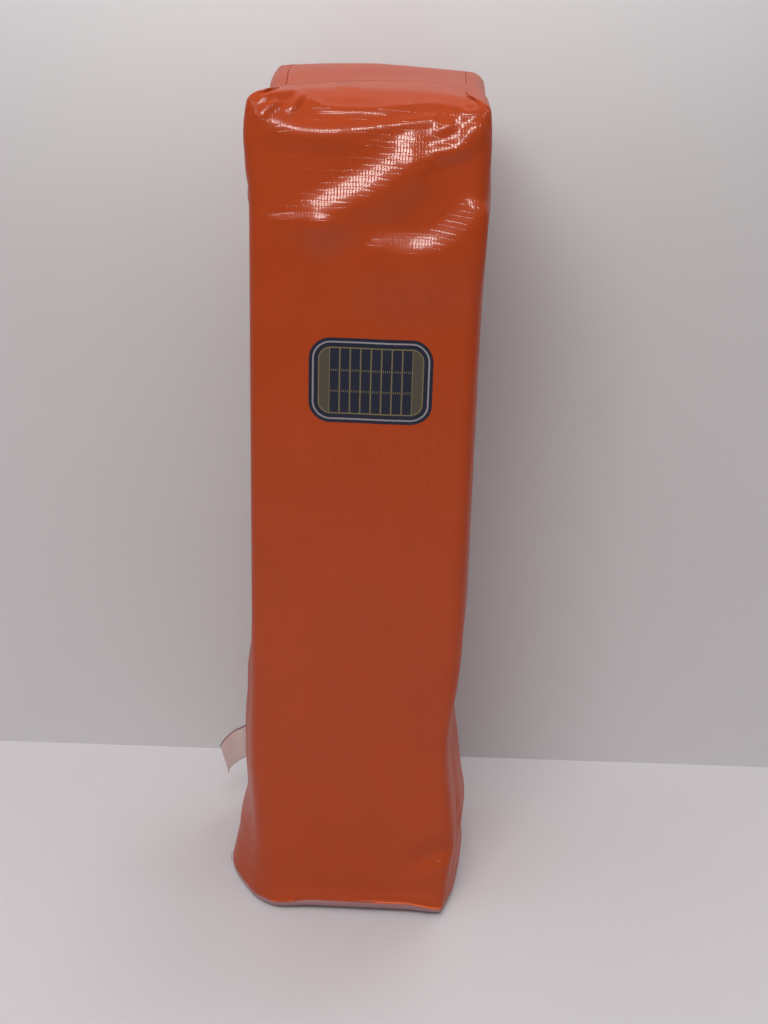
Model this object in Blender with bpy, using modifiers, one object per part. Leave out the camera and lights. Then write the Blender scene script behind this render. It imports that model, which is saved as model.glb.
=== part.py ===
"""Football end zone pylon: a sewn vinyl cover over a foam block, with a ballast pouch in its base.

The origin is on the ground under the middle of the pylon. +Z is up, +X is to the right, and the
plain front of the pylon faces -Y. Every piece inside the cover is first laid out straight and square
and then bent by swell(), which is what the settled filling does to the cover and all that it holds.
"""

import math

import bmesh
import bpy
import numpy as np

MM = 0.001

# Driving sizes of the cover, over its outer face
COVER_WIDTH = 114 * MM
COVER_DEPTH = 114 * MM
COVER_HEIGHT = 457 * MM
TOP_CROWN = 3.5 * MM
EDGE_RADIUS = 8 * MM
TOP_ROLL = 8 * MM
BASE_ROLL = 4 * MM

# Sheet goods and the room left between touching pieces
VINYL_THICKNESS = 1.0 * MM
POUCH_THICKNESS = 0.6 * MM
FIT_GAP = 0.3 * MM
FOAM_GAP = 0.9 * MM
SEAM_GAP = 0.4 * MM
BASE_SEAM_GAP = 0.8 * MM
POUCH_SEAM_GAP = 0.5 * MM
THREAD_RADIUS = 0.3 * MM

# Seams that close the cover at its top and at its base
SEAM_SETBACK = 46 * MM
TOP_STRIP = 1.5 * MM
BASE_STRIP = 2.5 * MM
OPENING_RADIUS = 4 * MM
ALLOWANCE = 6 * MM
FOLD_INSIDE = 0.5 * MM
SIDE_SEAM_END = 3 * MM
SIDE_SEAM_GAP = 1.2 * MM

# How far the settled filling pushes the cover out, and how high up that fades
LEFT_SPREAD = 16.5 * MM
LEFT_FADE = 75 * MM
LEFT_CENTRE_SHARE = 0.09
LEFT_SPAN_SHARE = 0.92
RIGHT_SPREAD = 7 * MM
RIGHT_FADE = 110 * MM
RIGHT_CENTRE_SHARE = 0.44
RIGHT_SPAN_SHARE = 1.24
BACK_SPREAD = 5 * MM
BACK_FADE = 110 * MM
FRONT_CROWN = 1.5 * MM
CROWN_FADE = 60 * MM

# Ballast pouch: two sheets sewn flange to flange round the sand
POUCH_HEIGHT = 44 * MM
POUCH_SEAM_HEIGHT = 23 * MM
POUCH_FOOT_GAP = 1.3 * MM
POUCH_WALL_GAP = 2.5 * MM
POUCH_FLANGE = 6 * MM
POUCH_ROLL = 5 * MM
CORNER_EASE = 4 * MM
FOAM_FOOT_ROLL = 4 * MM

# Care label: a folded ribbon caught in the cover's closing seam, at its left rear edge
LABEL_WIDTH = 24 * MM
LABEL_FOOT = 36 * MM
LABEL_THICKNESS = 0.4 * MM
LABEL_REACH = 29 * MM
LABEL_ROUTE_SHARES = [
    (0.0, 0.0),
    (-0.11, 0.02),
    (-0.26, -0.1),
    (-0.42, -0.29),
    (-0.58, -0.47),
    (-0.75, -0.635),
    (-0.9, -0.9),
    (-0.985, -1.18),
]

# Mesh steps of one outline, of a quarter roll and of the ribbon, and where the rings lie
ARC_STEPS = 3
SIDE_STEPS = 3
ROLL_STEPS = 3
FOLD_STEPS = 2
LABEL_STEPS = 21
WALL_SHARES = (0.03, 0.06, 0.1, 0.16, 0.25, 0.4, 0.6, 0.8, 0.93)
TOP_CAP_SHARES = (0.7, 0.35)
FOAM_CAP_SHARE = 0.5
THREAD_ROUNDNESS = 1
SMOOTH_ANGLE = math.radians(50)
DIAGONAL = math.radians(45)
CUT_OVERRUN = 10 * MM

# Places that follow from the sizes above
HALF_WIDTH = COVER_WIDTH / 2
HALF_DEPTH = COVER_DEPTH / 2
EDGE_HEIGHT = COVER_HEIGHT - TOP_CROWN
FOLD_RADIUS = VINYL_THICKNESS + FOLD_INSIDE
TOP_HEM = TOP_ROLL + TOP_STRIP + FOLD_RADIUS
BASE_HEM = BASE_ROLL + BASE_STRIP + FOLD_RADIUS
INNER_CORNER_RADIUS = EDGE_RADIUS + CORNER_EASE
POUCH_BOTTOM = VINYL_THICKNESS + FIT_GAP
POUCH_TOP = POUCH_BOTTOM + POUCH_HEIGHT
POUCH_SEAM = POUCH_BOTTOM + POUCH_SEAM_HEIGHT
TOP_THREAD_INSET = SEAM_GAP + VINYL_THICKNESS + SEAM_GAP + THREAD_RADIUS
BASE_THREAD_INSET = BASE_SEAM_GAP + VINYL_THICKNESS + BASE_SEAM_GAP + THREAD_RADIUS
POUCH_FOOT_INSET = BASE_HEM + BASE_THREAD_INSET + THREAD_RADIUS + POUCH_FOOT_GAP
POUCH_EDGE_INSET = VINYL_THICKNESS + POUCH_WALL_GAP
POUCH_BELLY_INSET = POUCH_EDGE_INSET + POUCH_FLANGE

COLLECTION = "end_zone_pylon"
CUTTERS = "cutters"


# Scene set-up


def clear_scene():
    """Removes whatever the scene holds."""
    for old in list(bpy.data.objects):
        bpy.data.objects.remove(old, do_unlink=True)


def new_collection(name):
    """Makes a collection under the scene's own."""
    collection = bpy.data.collections.new(name)
    bpy.context.scene.collection.children.link(collection)
    return collection


def material(name, colour, roughness):
    """Makes a plain Principled material from an sRGB colour."""
    made = bpy.data.materials.new(name)
    made.use_nodes = True
    shader = made.node_tree.nodes["Principled BSDF"]
    linear = [channel**2.2 for channel in colour]
    shader.inputs["Base Color"].default_value = (*linear, 1.0)
    shader.inputs["Roughness"].default_value = roughness
    shader.inputs["Metallic"].default_value = 0.0
    made.diffuse_color = (*linear, 1.0)
    return made


# Outlines and rings


def outline(left, right, front, back, radius):
    """A rectangle with round corners, anticlockwise from above, starting at its front right corner.

    The points between two corners lie at even shares of the whole side, whatever the corner radius,
    so that nested outlines keep their points side by side.
    """
    corners = np.array([(right, front), (right, back), (left, back), (left, front)])
    inward = radius * np.array([(-1, 1), (-1, -1), (1, -1), (1, 1)])
    following = np.roll(corners, -1, axis=0)
    points = []
    for turn, (corner, step, ahead) in enumerate(zip(corners, inward, following)):
        angles = np.radians(np.linspace(90 * turn - 90, 90 * turn, ARC_STEPS + 1))
        shares = np.linspace(0, 1, SIDE_STEPS + 1)[1:-1, None]
        points.append(corner + step + radius * np.stack([np.cos(angles), np.sin(angles)], axis=1))
        points.append(corner * (1 - shares) + ahead * shares)
    return np.concatenate(points)


def fade(height, distance):
    """Falls from one on the ground towards nothing over a few distances."""
    return np.exp(-np.maximum(height, 0) / distance)


def swell(points):
    """Bends straight pieces as the settled filling bends the cover.

    The left, right and back walls bow out near the ground, most at their own middle and less
    higher up. The front has a slight crown, and the top is domed by TOP_CROWN.
    """
    points = np.array(points, dtype=float)
    x, y, z = points.T
    across = x / HALF_WIDTH
    along = y / HALF_DEPTH
    left = np.clip(-across, 0, None) * (1 - ((along - LEFT_CENTRE_SHARE) / LEFT_SPAN_SHARE) ** 2)
    right = np.clip(across, 0, None) * (1 - ((along - RIGHT_CENTRE_SHARE) / RIGHT_SPAN_SHARE) ** 2)
    back = np.clip(along, 0, None) * (1 - across**2)
    front = np.clip(-along, 0, None) * (1 - across**2)
    rise = np.clip(1 - (EDGE_HEIGHT - z) / CROWN_FADE, 0, 1)
    body = np.clip(np.minimum(z, EDGE_HEIGHT - z) / CROWN_FADE, 0, 1)
    moved_x = x - LEFT_SPREAD * left * fade(z, LEFT_FADE) + RIGHT_SPREAD * right * fade(z, RIGHT_FADE)
    moved_y = y + BACK_SPREAD * back * fade(z, BACK_FADE) - FRONT_CROWN * front * body
    moved_z = z + TOP_CROWN * rise**2 * (1 - across**2) * (1 - along**2)
    return np.stack([moved_x, moved_y, moved_z], axis=1)


def ring(flat, height):
    """Lifts a flat outline to a height, unbent."""
    return np.column_stack([flat, np.full(len(flat), height)])


def body_ring(inset, height, radius):
    """The pylon's square outline, drawn in by inset."""
    across = HALF_WIDTH - inset
    along = HALF_DEPTH - inset
    return ring(outline(-across, across, -along, along, radius), height)


def wall_ring(inset, height):
    """The pylon's outline drawn in by inset, with its corners kept round the same centres."""
    return body_ring(inset, height, max(EDGE_RADIUS - inset, OPENING_RADIUS))


def base_opening(inset, height):
    """The opening in the bottom of the cover, drawn in by inset."""
    return body_ring(BASE_HEM + inset, height, max(OPENING_RADIUS - inset, FOLD_RADIUS))


def top_opening(inset, height):
    """The opening in the top of the cover, behind the front roll, drawn in by inset."""
    return ring(
        outline(
            -HALF_WIDTH + TOP_HEM + inset,
            HALF_WIDTH - TOP_HEM - inset,
            -HALF_DEPTH + SEAM_SETBACK + inset,
            HALF_DEPTH - TOP_HEM - inset,
            max(OPENING_RADIUS - inset, FOLD_RADIUS),
        ),
        height,
    )


def quarter(radius, steps=ROLL_STEPS):
    """Pairs (inset, drop) round a quarter circle, from the flat face (radius, 0) to the wall (0, radius)."""
    angles = np.linspace(0, math.pi / 2, steps + 1)
    return [(radius * (1 - math.sin(angle)), radius * (1 - math.cos(angle))) for angle in angles]


# Solids


def loft(name, rings, collection, finish, cap_first=False, cap_last=False, joined=False):
    """Skins a row of rings, each with as many points, and links the object.

    Rings listed upwards on an outer wall give faces that point outwards. A joined loft runs on from
    its last ring to its first.
    """
    count = len(rings[0])
    points = np.concatenate(rings)
    following = np.roll(np.arange(count), -1)
    starts = [row * count for row in range(len(rings))]
    pairs = list(zip(starts[:-1], starts[1:]))
    if joined:
        pairs.append((starts[-1], starts[0]))
    faces = []
    for low, high in pairs:
        for here in range(count):
            there = following[here]
            faces.append((low + here, low + there, high + there, high + here))
    if cap_first:
        faces.append(tuple(reversed(range(count))))
    if cap_last:
        faces.append(tuple(range(len(points) - count, len(points))))
    mesh = bpy.data.meshes.new(name)
    mesh.from_pydata([tuple(point) for point in points], [], [tuple(int(i) for i in face) for face in faces])
    mesh.shade_smooth()
    mesh.set_sharp_from_angle(angle=SMOOTH_ANGLE)
    made = bpy.data.objects.new(name, mesh)
    collection.objects.link(made)
    if finish:
        mesh.materials.append(finish)
    return made


def thicken(sheet, thickness):
    """Gives an open sheet its thickness, on the side away from its outer face."""
    solid = sheet.modifiers.new("Sheet thickness", "SOLIDIFY")
    solid.thickness = thickness
    solid.offset = -1.0
    solid.use_even_offset = True


def thread(name, points, closed, collection, finish):
    """One sewing thread as a thin round tube along its stitch line."""
    curve = bpy.data.curves.new(name, "CURVE")
    curve.dimensions = "3D"
    curve.bevel_depth = THREAD_RADIUS
    curve.bevel_resolution = THREAD_ROUNDNESS
    curve.use_fill_caps = not closed
    spline = curve.splines.new("POLY")
    spline.points.add(len(points) - 1)
    for place, point in zip(spline.points, points):
        place.co = (*point, 1.0)
    spline.use_cyclic_u = closed
    curve.materials.append(finish)
    made = bpy.data.objects.new(name, curve)
    collection.objects.link(made)
    return made


# Cover pieces


def make_sleeve(collection, finish):
    """The wrap round all four sides: hem and allowance below, and the roll over the top's front."""
    fold = quarter(FOLD_RADIUS, FOLD_STEPS)
    rings = [base_opening(0, ALLOWANCE)]
    rings += [base_opening(-inset, drop) for inset, drop in reversed(fold)]
    rings += [wall_ring(inset, drop) for inset, drop in quarter(BASE_ROLL)]
    rings += [wall_ring(0, EDGE_HEIGHT * share) for share in WALL_SHARES]
    rings += [wall_ring(inset, EDGE_HEIGHT - drop) for inset, drop in reversed(quarter(TOP_ROLL))]
    flat_edge = wall_ring(TOP_ROLL, EDGE_HEIGHT)
    seam_edge = top_opening(-FOLD_RADIUS, EDGE_HEIGHT)
    rings.append((flat_edge + seam_edge) / 2)
    rings += [top_opening(-inset, EDGE_HEIGHT - drop) for inset, drop in fold]
    rings.append(top_opening(0, EDGE_HEIGHT - ALLOWANCE))
    sleeve = loft("cover_sleeve", [swell(points) for points in rings], collection, finish)
    thicken(sleeve, VINYL_THICKNESS)
    return sleeve


def make_top_panel(collection, finish):
    """The panel behind the top seam, with its allowance turned down inside the cover."""
    fold = reversed(quarter(FOLD_RADIUS, FOLD_STEPS))
    rings = [top_opening(SEAM_GAP, EDGE_HEIGHT - ALLOWANCE)]
    rings += [top_opening(SEAM_GAP + inset, EDGE_HEIGHT - drop) for inset, drop in fold]
    rim = rings[-1]
    middle = rim.mean(axis=0)
    rings += [middle + (rim - middle) * share for share in TOP_CAP_SHARES]
    panel = loft("cover_top_panel", [swell(points) for points in rings], collection, finish, cap_last=True)
    thicken(panel, VINYL_THICKNESS)
    return panel


def make_base_panel(collection, finish):
    """The flat panel that the pylon stands on, with its allowance turned up inside the cover."""
    fold = quarter(FOLD_RADIUS, FOLD_STEPS)
    rings = [base_opening(BASE_SEAM_GAP + inset, drop) for inset, drop in fold]
    rings.append(base_opening(BASE_SEAM_GAP, ALLOWANCE))
    panel = loft("cover_base_panel", [swell(points) for points in rings], collection, finish, cap_first=True)
    thicken(panel, VINYL_THICKNESS)
    return panel


def make_cover_threads(collection, finish):
    """The top seam, the base seam and the closing seam up the left rear edge."""
    top = swell(top_opening(TOP_THREAD_INSET, EDGE_HEIGHT - ALLOWANCE / 2))
    base = swell(base_opening(BASE_THREAD_INSET, ALLOWANCE / 2))
    thread("top_seam_thread", top, True, collection, finish)
    thread("base_seam_thread", base, True, collection, finish)
    depth = EDGE_RADIUS - VINYL_THICKNESS - SIDE_SEAM_GAP - THREAD_RADIUS
    across = -HALF_WIDTH + EDGE_RADIUS - depth * math.cos(DIAGONAL)
    along = HALF_DEPTH - EDGE_RADIUS + depth * math.sin(DIAGONAL)
    foot = BASE_ROLL + SIDE_SEAM_END
    head = EDGE_HEIGHT - TOP_ROLL - SIDE_SEAM_END
    between = [EDGE_HEIGHT * share for share in WALL_SHARES if foot < EDGE_HEIGHT * share < head]
    line = swell([(across, along, height) for height in [foot, *between, head]])
    thread("side_seam_thread", line, False, collection, finish)


# Filling


def make_foam(collection, cutters, finish):
    """The foam block that keeps the pylon square, relieved round the turned-in top allowances."""
    inset = VINYL_THICKNESS + FOAM_GAP
    foot = POUCH_TOP + FIT_GAP
    head = EDGE_HEIGHT - inset
    places = [(inset + step, foot + drop) for step, drop in quarter(FOAM_FOOT_ROLL, FOLD_STEPS)]
    wall = [EDGE_HEIGHT * share for share in WALL_SHARES]
    places += [(inset, height) for height in wall if height > foot + FOAM_FOOT_ROLL]
    top_roll = reversed(quarter(TOP_ROLL - VINYL_THICKNESS))
    places += [(inset + step, head - drop) for step, drop in top_roll]
    places.append((HALF_WIDTH * FOAM_CAP_SHARE, head))
    rings = [swell(body_ring(*place, INNER_CORNER_RADIUS)) for place in places]
    foam = loft("foam_core", rings, collection, finish, cap_first=True, cap_last=True)
    outer = -VINYL_THICKNESS - SEAM_GAP
    inner = TOP_THREAD_INSET + THREAD_RADIUS + SEAM_GAP
    floor = EDGE_HEIGHT - ALLOWANCE - SEAM_GAP
    above = EDGE_HEIGHT + CUT_OVERRUN
    groove = [(outer, floor), (outer, above), (inner, above), (inner, floor)]
    groove_rings = [swell(top_opening(*place)) for place in groove]
    cutter = loft("allowance_groove", groove_rings, cutters, None, joined=True)
    cutter.hide_render = True
    cutter.display_type = "WIRE"
    cut = foam.modifiers.new("Room for the top allowances", "BOOLEAN")
    cut.operation = "DIFFERENCE"
    cut.solver = "EXACT"
    cut.object = cutter
    return foam


def pouch_profile(offset):
    """Pairs (inset, height) from the pouch's foot up to its seam, and from there to its top.

    A positive offset draws the profile inwards, for what lies inside the sheet.
    """
    roll = quarter(POUCH_ROLL, FOLD_STEPS)
    lower = [(POUCH_FOOT_INSET + offset + step, POUCH_BOTTOM + offset + drop) for step, drop in roll]
    upper = [(POUCH_BELLY_INSET + offset + step, POUCH_TOP - offset - drop) for step, drop in reversed(roll)]
    return lower, upper


def pouch_ring(inset, height):
    """The pouch's outline, bent with the cover round it."""
    return swell(body_ring(inset, height, INNER_CORNER_RADIUS))


def make_pouch(collection, fabric, sand, finish):
    """Two sheets sewn at a flange half way up, the sand between them and the seam's thread."""
    flange_top = POUCH_SEAM + 2 * POUCH_THICKNESS + POUCH_SEAM_GAP
    lower, upper = pouch_profile(0)
    lower += [(POUCH_BELLY_INSET, POUCH_SEAM), (POUCH_EDGE_INSET, POUCH_SEAM)]
    upper = [(POUCH_EDGE_INSET, flange_top), (POUCH_BELLY_INSET, flange_top)] + upper
    bowl_rings = [pouch_ring(*place) for place in lower]
    lid_rings = [pouch_ring(*place) for place in upper]
    thicken(loft("pouch_lower_sheet", bowl_rings, collection, fabric, cap_first=True), POUCH_THICKNESS)
    thicken(loft("pouch_upper_sheet", lid_rings, collection, fabric, cap_last=True), POUCH_THICKNESS)
    inside = POUCH_THICKNESS + FIT_GAP
    low, high = pouch_profile(inside)
    seat = [(POUCH_BELLY_INSET + 2 * inside, POUCH_SEAM + POUCH_THICKNESS)]
    heap = [pouch_ring(*place) for place in low + seat + high]
    loft("ballast_sand", heap, collection, sand, cap_first=True, cap_last=True)
    line = pouch_ring(POUCH_EDGE_INSET + POUCH_FLANGE / 2, flange_top + FIT_GAP + THREAD_RADIUS)
    thread("pouch_seam_thread", line, True, collection, finish)


# Care label


def smooth_route(places, steps):
    """A smooth line through the given places, by Catmull-Rom splines, with even parameter steps."""
    places = np.array(places, dtype=float)
    padded = np.concatenate([[2 * places[0] - places[1]], places, [2 * places[-1] - places[-2]]])
    points = []
    for position in np.linspace(0, len(places) - 1, steps + 1):
        first = min(int(position), len(places) - 2)
        part = position - first
        before, start, end, after = padded[first : first + 4]
        points.append(
            (
                2 * start
                + (end - before) * part
                + (2 * before - 5 * start + 4 * end - after) * part**2
                + (3 * start - before - 3 * end + after) * part**3
            )
            / 2
        )
    return np.array(points)


def label_root():
    """Where the ribbon leaves the seam: just clear of the round left rear edge, on its diagonal."""
    depth = EDGE_RADIUS + SEAM_GAP + LABEL_THICKNESS / 2
    across = -HALF_WIDTH + EDGE_RADIUS - depth * math.cos(DIAGONAL)
    along = HALF_DEPTH - EDGE_RADIUS + depth * math.sin(DIAGONAL)
    return swell([(across, along, LABEL_FOOT)])[0, :2]


def make_label(collection, finish):
    """The ribbon: its line in plan carried up by its width, on an empty that stands at its root."""
    root = label_root()
    pivot = bpy.data.objects.new("label_pivot", None)
    pivot.location = (*root, LABEL_FOOT)
    collection.objects.link(pivot)
    line = smooth_route(np.array(LABEL_ROUTE_SHARES) * LABEL_REACH, LABEL_STEPS)
    count = len(line)
    points = [(*place, 0) for place in line] + [(*place, LABEL_WIDTH) for place in line]
    faces = [(step, step + 1, count + step + 1, count + step) for step in range(count - 1)]
    mesh = bpy.data.meshes.new("care_label")
    mesh.from_pydata(points, [], faces)
    mesh.shade_smooth()
    mesh.materials.append(finish)
    label = bpy.data.objects.new("care_label", mesh)
    label.parent = pivot
    collection.objects.link(label)
    solid = label.modifiers.new("Ribbon thickness", "SOLIDIFY")
    solid.thickness = LABEL_THICKNESS
    solid.offset = 0.0
    solid.use_even_offset = True
    return label


def build():
    """Makes the whole pylon."""
    clear_scene()
    parts = new_collection(COLLECTION)
    cutters = new_collection(CUTTERS)
    vinyl = material("orange_vinyl", (0.61, 0.24, 0.12), 0.35)
    polyester = material("pouch_polyester", (0.82, 0.8, 0.76), 0.9)
    foam = material("grey_foam", (0.45, 0.45, 0.47), 0.95)
    sand = material("dry_sand", (0.72, 0.62, 0.45), 0.95)
    ribbon = material("satin_ribbon", (0.88, 0.82, 0.81), 0.5)
    orange_thread = material("orange_thread", (0.66, 0.28, 0.14), 0.7)
    white_thread = material("white_thread", (0.86, 0.85, 0.82), 0.8)
    make_sleeve(parts, vinyl)
    make_top_panel(parts, vinyl)
    make_base_panel(parts, vinyl)
    make_cover_threads(parts, orange_thread)
    make_foam(parts, cutters, foam)
    make_pouch(parts, polyester, sand, white_thread)
    make_label(parts, ribbon)


build()
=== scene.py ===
# %% [markdown]
# # A football end zone pylon
#
# An end zone pylon is a soft square post that marks the corner of a playing field. It is a sewn
# cover of orange coated fabric, drawn over a block of foam, with a pouch of sand in its foot so
# that it stands and rights itself. Nothing on it is hard: every visible surface is cloth that is
# pulled, rolled or folded over its filling.
#
# The imported model is the fixed frame of the scene. It gives every piece its place and its size, and
# the cells below lay finer cloth over it.

import math

import bpy
import numpy as np
from mathutils import Matrix, Vector


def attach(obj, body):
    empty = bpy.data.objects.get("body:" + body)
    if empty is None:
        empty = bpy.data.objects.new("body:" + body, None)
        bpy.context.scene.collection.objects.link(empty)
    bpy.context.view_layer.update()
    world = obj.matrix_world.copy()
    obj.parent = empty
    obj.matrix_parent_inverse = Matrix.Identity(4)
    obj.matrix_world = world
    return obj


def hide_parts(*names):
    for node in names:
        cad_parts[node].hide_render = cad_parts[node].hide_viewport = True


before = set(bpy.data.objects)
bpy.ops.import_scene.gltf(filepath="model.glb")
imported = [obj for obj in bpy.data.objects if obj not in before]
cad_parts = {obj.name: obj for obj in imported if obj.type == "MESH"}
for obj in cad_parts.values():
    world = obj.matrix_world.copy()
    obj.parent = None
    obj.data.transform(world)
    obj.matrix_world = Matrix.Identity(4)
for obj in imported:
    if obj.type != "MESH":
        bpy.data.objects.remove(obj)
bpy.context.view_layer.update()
MM = 0.001


def mm(*sizes):
    """Sizes in millimetres as metres."""
    return tuple(size * MM for size in sizes)


print("nodes:", sorted(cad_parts))

# %% [markdown]
# ## Camera
#
# The pylon stands on a table against a wall and is seen from a little above. The place and the
# turn of the camera come from fitting a pinhole camera to the pylon's eight box corners. Three
# angles say how it is turned: down towards the table, sideways, and a slight roll.

# %% Camera
CAMERA_PLACE = mm(27.4, -801.4, 554.2)
CAMERA_DOWN, CAMERA_SIDE, CAMERA_ROLL = (math.radians(angle) for angle in (22.48, -1.19, -1.65))
CAMERA_LENS, CAMERA_NEAR = 55.0, 10 * MM


def camera_turn(down, side, roll):
    """The camera's axes as a matrix: look along +Y, turn sideways, tip down, then roll about the view."""
    ahead = Vector((math.sin(side) * math.cos(down), math.cos(side) * math.cos(down), -math.sin(down)))
    level = Vector((math.cos(side), -math.sin(side), 0))
    below = ahead.cross(level)
    right = level * math.cos(roll) + below * math.sin(roll)
    upward = level * math.sin(roll) - below * math.cos(roll)
    return Matrix((right, upward, -ahead)).transposed().to_4x4()


camera_data = bpy.data.cameras.new("camera")
camera_data.lens = CAMERA_LENS
camera_data.clip_start = CAMERA_NEAR
camera = bpy.data.objects.new("camera", camera_data)
camera.matrix_world = Matrix.Translation(CAMERA_PLACE) @ camera_turn(CAMERA_DOWN, CAMERA_SIDE, CAMERA_ROLL)
bpy.context.scene.collection.objects.link(camera)
bpy.context.scene.camera = camera
bpy.context.scene.view_settings.view_transform = "Standard"
print("camera at", [round(value, 3) for value in camera.location])

# %% [markdown]
# ## Materials are small graphs of nodes
#
# Every finish below is made of the same few steps: a coordinate, a pattern, a ramp and a bump.
# These helpers keep each material short enough to read. A colour is given as it looks on a screen,
# in shares of full brightness, and is turned into the linear light that the shader works in.

# %% Helpers for materials


def linear(colour):
    """A screen colour as linear light: each channel raised by the standard screen curve."""
    screen = np.asarray(colour, dtype=float)
    return tuple(np.where(screen <= 0.04045, screen / 12.92, ((screen + 0.055) / 1.055) ** 2.4))


def shaded(colour, share):
    """A darker colour: each channel times a share."""
    return tuple(channel * share for channel in colour)


def add_node(tree, kind, inputs=(), **settings):
    """Adds a node to a graph, sets its properties and fills its inputs, in order or by name."""
    made = tree.nodes.new("ShaderNode" + kind)
    for key, value in settings.items():
        setattr(made, key, value)
    for key, value in inputs.items() if isinstance(inputs, dict) else enumerate(inputs):
        if isinstance(value, bpy.types.NodeSocket):
            tree.links.new(value, made.inputs[key])
        else:
            made.inputs[key].default_value = value
    return made


class Finish:
    """A Principled material and short calls that add nodes to it."""

    def __init__(self, name, colour, roughness, **sockets):
        self.material = bpy.data.materials.new(name)
        self.material.use_nodes = True
        self.material.diffuse_color = (*linear(colour), 1)
        self.tree = self.material.node_tree
        self.shader = self.tree.nodes["Principled BSDF"]
        sockets = {"Base Color": (*linear(colour), 1), "Roughness": roughness, **sockets}
        for socket, value in sockets.items():
            self.shader.inputs[socket.replace("_", " ")].default_value = value

    def join(self, source, socket):
        """Feeds a socket of the shader."""
        self.tree.links.new(source, self.shader.inputs[socket])

    def node(self, kind, inputs=(), **settings):
        """Adds a node to this material."""
        return add_node(self.tree, kind, inputs, **settings)

    def math(self, operation, *values):
        """One sum, product or other step of arithmetic."""
        return self.node("Math", values, operation=operation).outputs[0]

    def times(self, first, second):
        """The product of two values."""
        return self.math("MULTIPLY", first, second)

    def apart(self, first, second):
        """The distance between two values."""
        return self.math("ABSOLUTE", self.math("SUBTRACT", first, second))

    def wave(self, value, pitch):
        """A cosine along a value, one wave for each pitch."""
        return self.math("COSINE", self.times(value, 2 * math.pi / pitch))

    def parts(self, vector):
        """The two or three parts of a place."""
        return self.node("SeparateXYZ", (vector,)).outputs

    def place(self, layer=None):
        """The piece's own UV layer in metres, or its object coordinates."""
        if layer:
            return self.node("UVMap", uv_map=layer).outputs[0]
        return self.node("TexCoord").outputs["Object"]

    def noise(self, vector, size, detail=2.0, roughness=0.5):
        """Soft random patches, about one for each size in metres."""
        inputs = {"Vector": vector, "Scale": 1 / size, "Detail": detail, "Roughness": roughness}
        return self.node("TexNoise", inputs).outputs[0]

    def ramp(self, value, low, high):
        """Nought at low, one at high, and a smooth climb between."""
        inputs = {"Value": value, "From Min": low, "From Max": high}
        return self.node("MapRange", inputs, interpolation_type="SMOOTHSTEP").outputs[0]

    def mix(self, share, first, second):
        """Two colours mixed by a share."""
        colours = [(*linear(each), 1) if isinstance(each, tuple) else each for each in (first, second)]
        return self.node("Mix", {0: share, 6: colours[0], 7: colours[1]}, data_type="RGBA").outputs[2]

    def bump(self, height, distance, under=None):
        """A bump of that height in metres, on top of an earlier one."""
        inputs = {"Strength": 1.0, "Distance": distance, "Height": height}
        if under:
            inputs["Normal"] = under
        return self.node("Bump", inputs).outputs[0]


print("material helpers ready")

# %% [markdown]
# ## Table, wall and light
#
# The object itself is what matters, so the setting is plain: a pale table and a pale wall behind
# it. The wall is drawn only on the side that faces the pylon, so that a view from behind isn't
# blocked. The light is a soft, even room light with two ceiling lamps: one in front, above the eye
# and to the left, and one above and a little behind, which lights the top and drops a short shadow
# on the table. A third, wide lamp shows only as a mirror image in glossy films. It makes the glints
# on the folds without adding to the light.
# The table is painted darker far from the pylon, a painted fall-off of the light. The wall is painted lighter
# round a place above the pylon and glows a little there, a painted pool of light.

# %% Table and wall
TABLE_COLOUR, WALL_COLOUR = (0.862, 0.853, 0.863), (0.842, 0.834, 0.838)
STAGE_REACH, WALL_HEIGHT, WALL_DISTANCE, WALL_TURN = 4000 * MM, 2500 * MM, 111 * MM, math.radians(0.55)
MATT, MOTTLE_SIZE, MOTTLE_SHADE = 0.75, 180 * MM, 0.975
# Painted shade: the table's colour falls to a share of itself between these two distances from the pylon, a
# painted fall-off of the light.
NEAR_TABLE, FAR_TABLE, FAR_TABLE_PAINTED_SHADE = 380 * MM, 1100 * MM, 0.62
# Painted light: round this place the wall's colour is raised by a share and it glows by emission, a painted
# pool of light.
WALL_LIT_PLACE = mm(-20, 111, 900)
WALL_LIT_REACH, WALL_PAINTED_LIGHT_SHARE, WALL_PAINTED_GLOW = 640 * MM, 1.34, 0.55


def stage_sheet(name, corners, colour, centre, low, high, other):
    """A flat, faintly mottled matt sheet that turns to another colour with the distance from a place. The
    other colour is painted light: the table darkens far away, and the wall lightens round a lit place.

    It gives back the sheet, its finish and the share of the other colour.
    """
    mesh = bpy.data.meshes.new(name)
    mesh.from_pydata(corners, [], [(0, 1, 2, 3)])
    sheet = bpy.data.objects.new(name, mesh)
    bpy.context.scene.collection.objects.link(sheet)
    finish = Finish(name, colour, MATT)
    mesh.materials.append(finish.material)
    place = finish.place()
    mottled = finish.mix(finish.noise(place, MOTTLE_SIZE), shaded(colour, MOTTLE_SHADE), colour)
    gap = finish.node("VectorMath", (place, centre), operation="DISTANCE").outputs["Value"]
    share = finish.ramp(gap, low, high)
    finish.join(finish.mix(share, mottled, other), "Base Color")
    return sheet, finish, share


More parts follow.
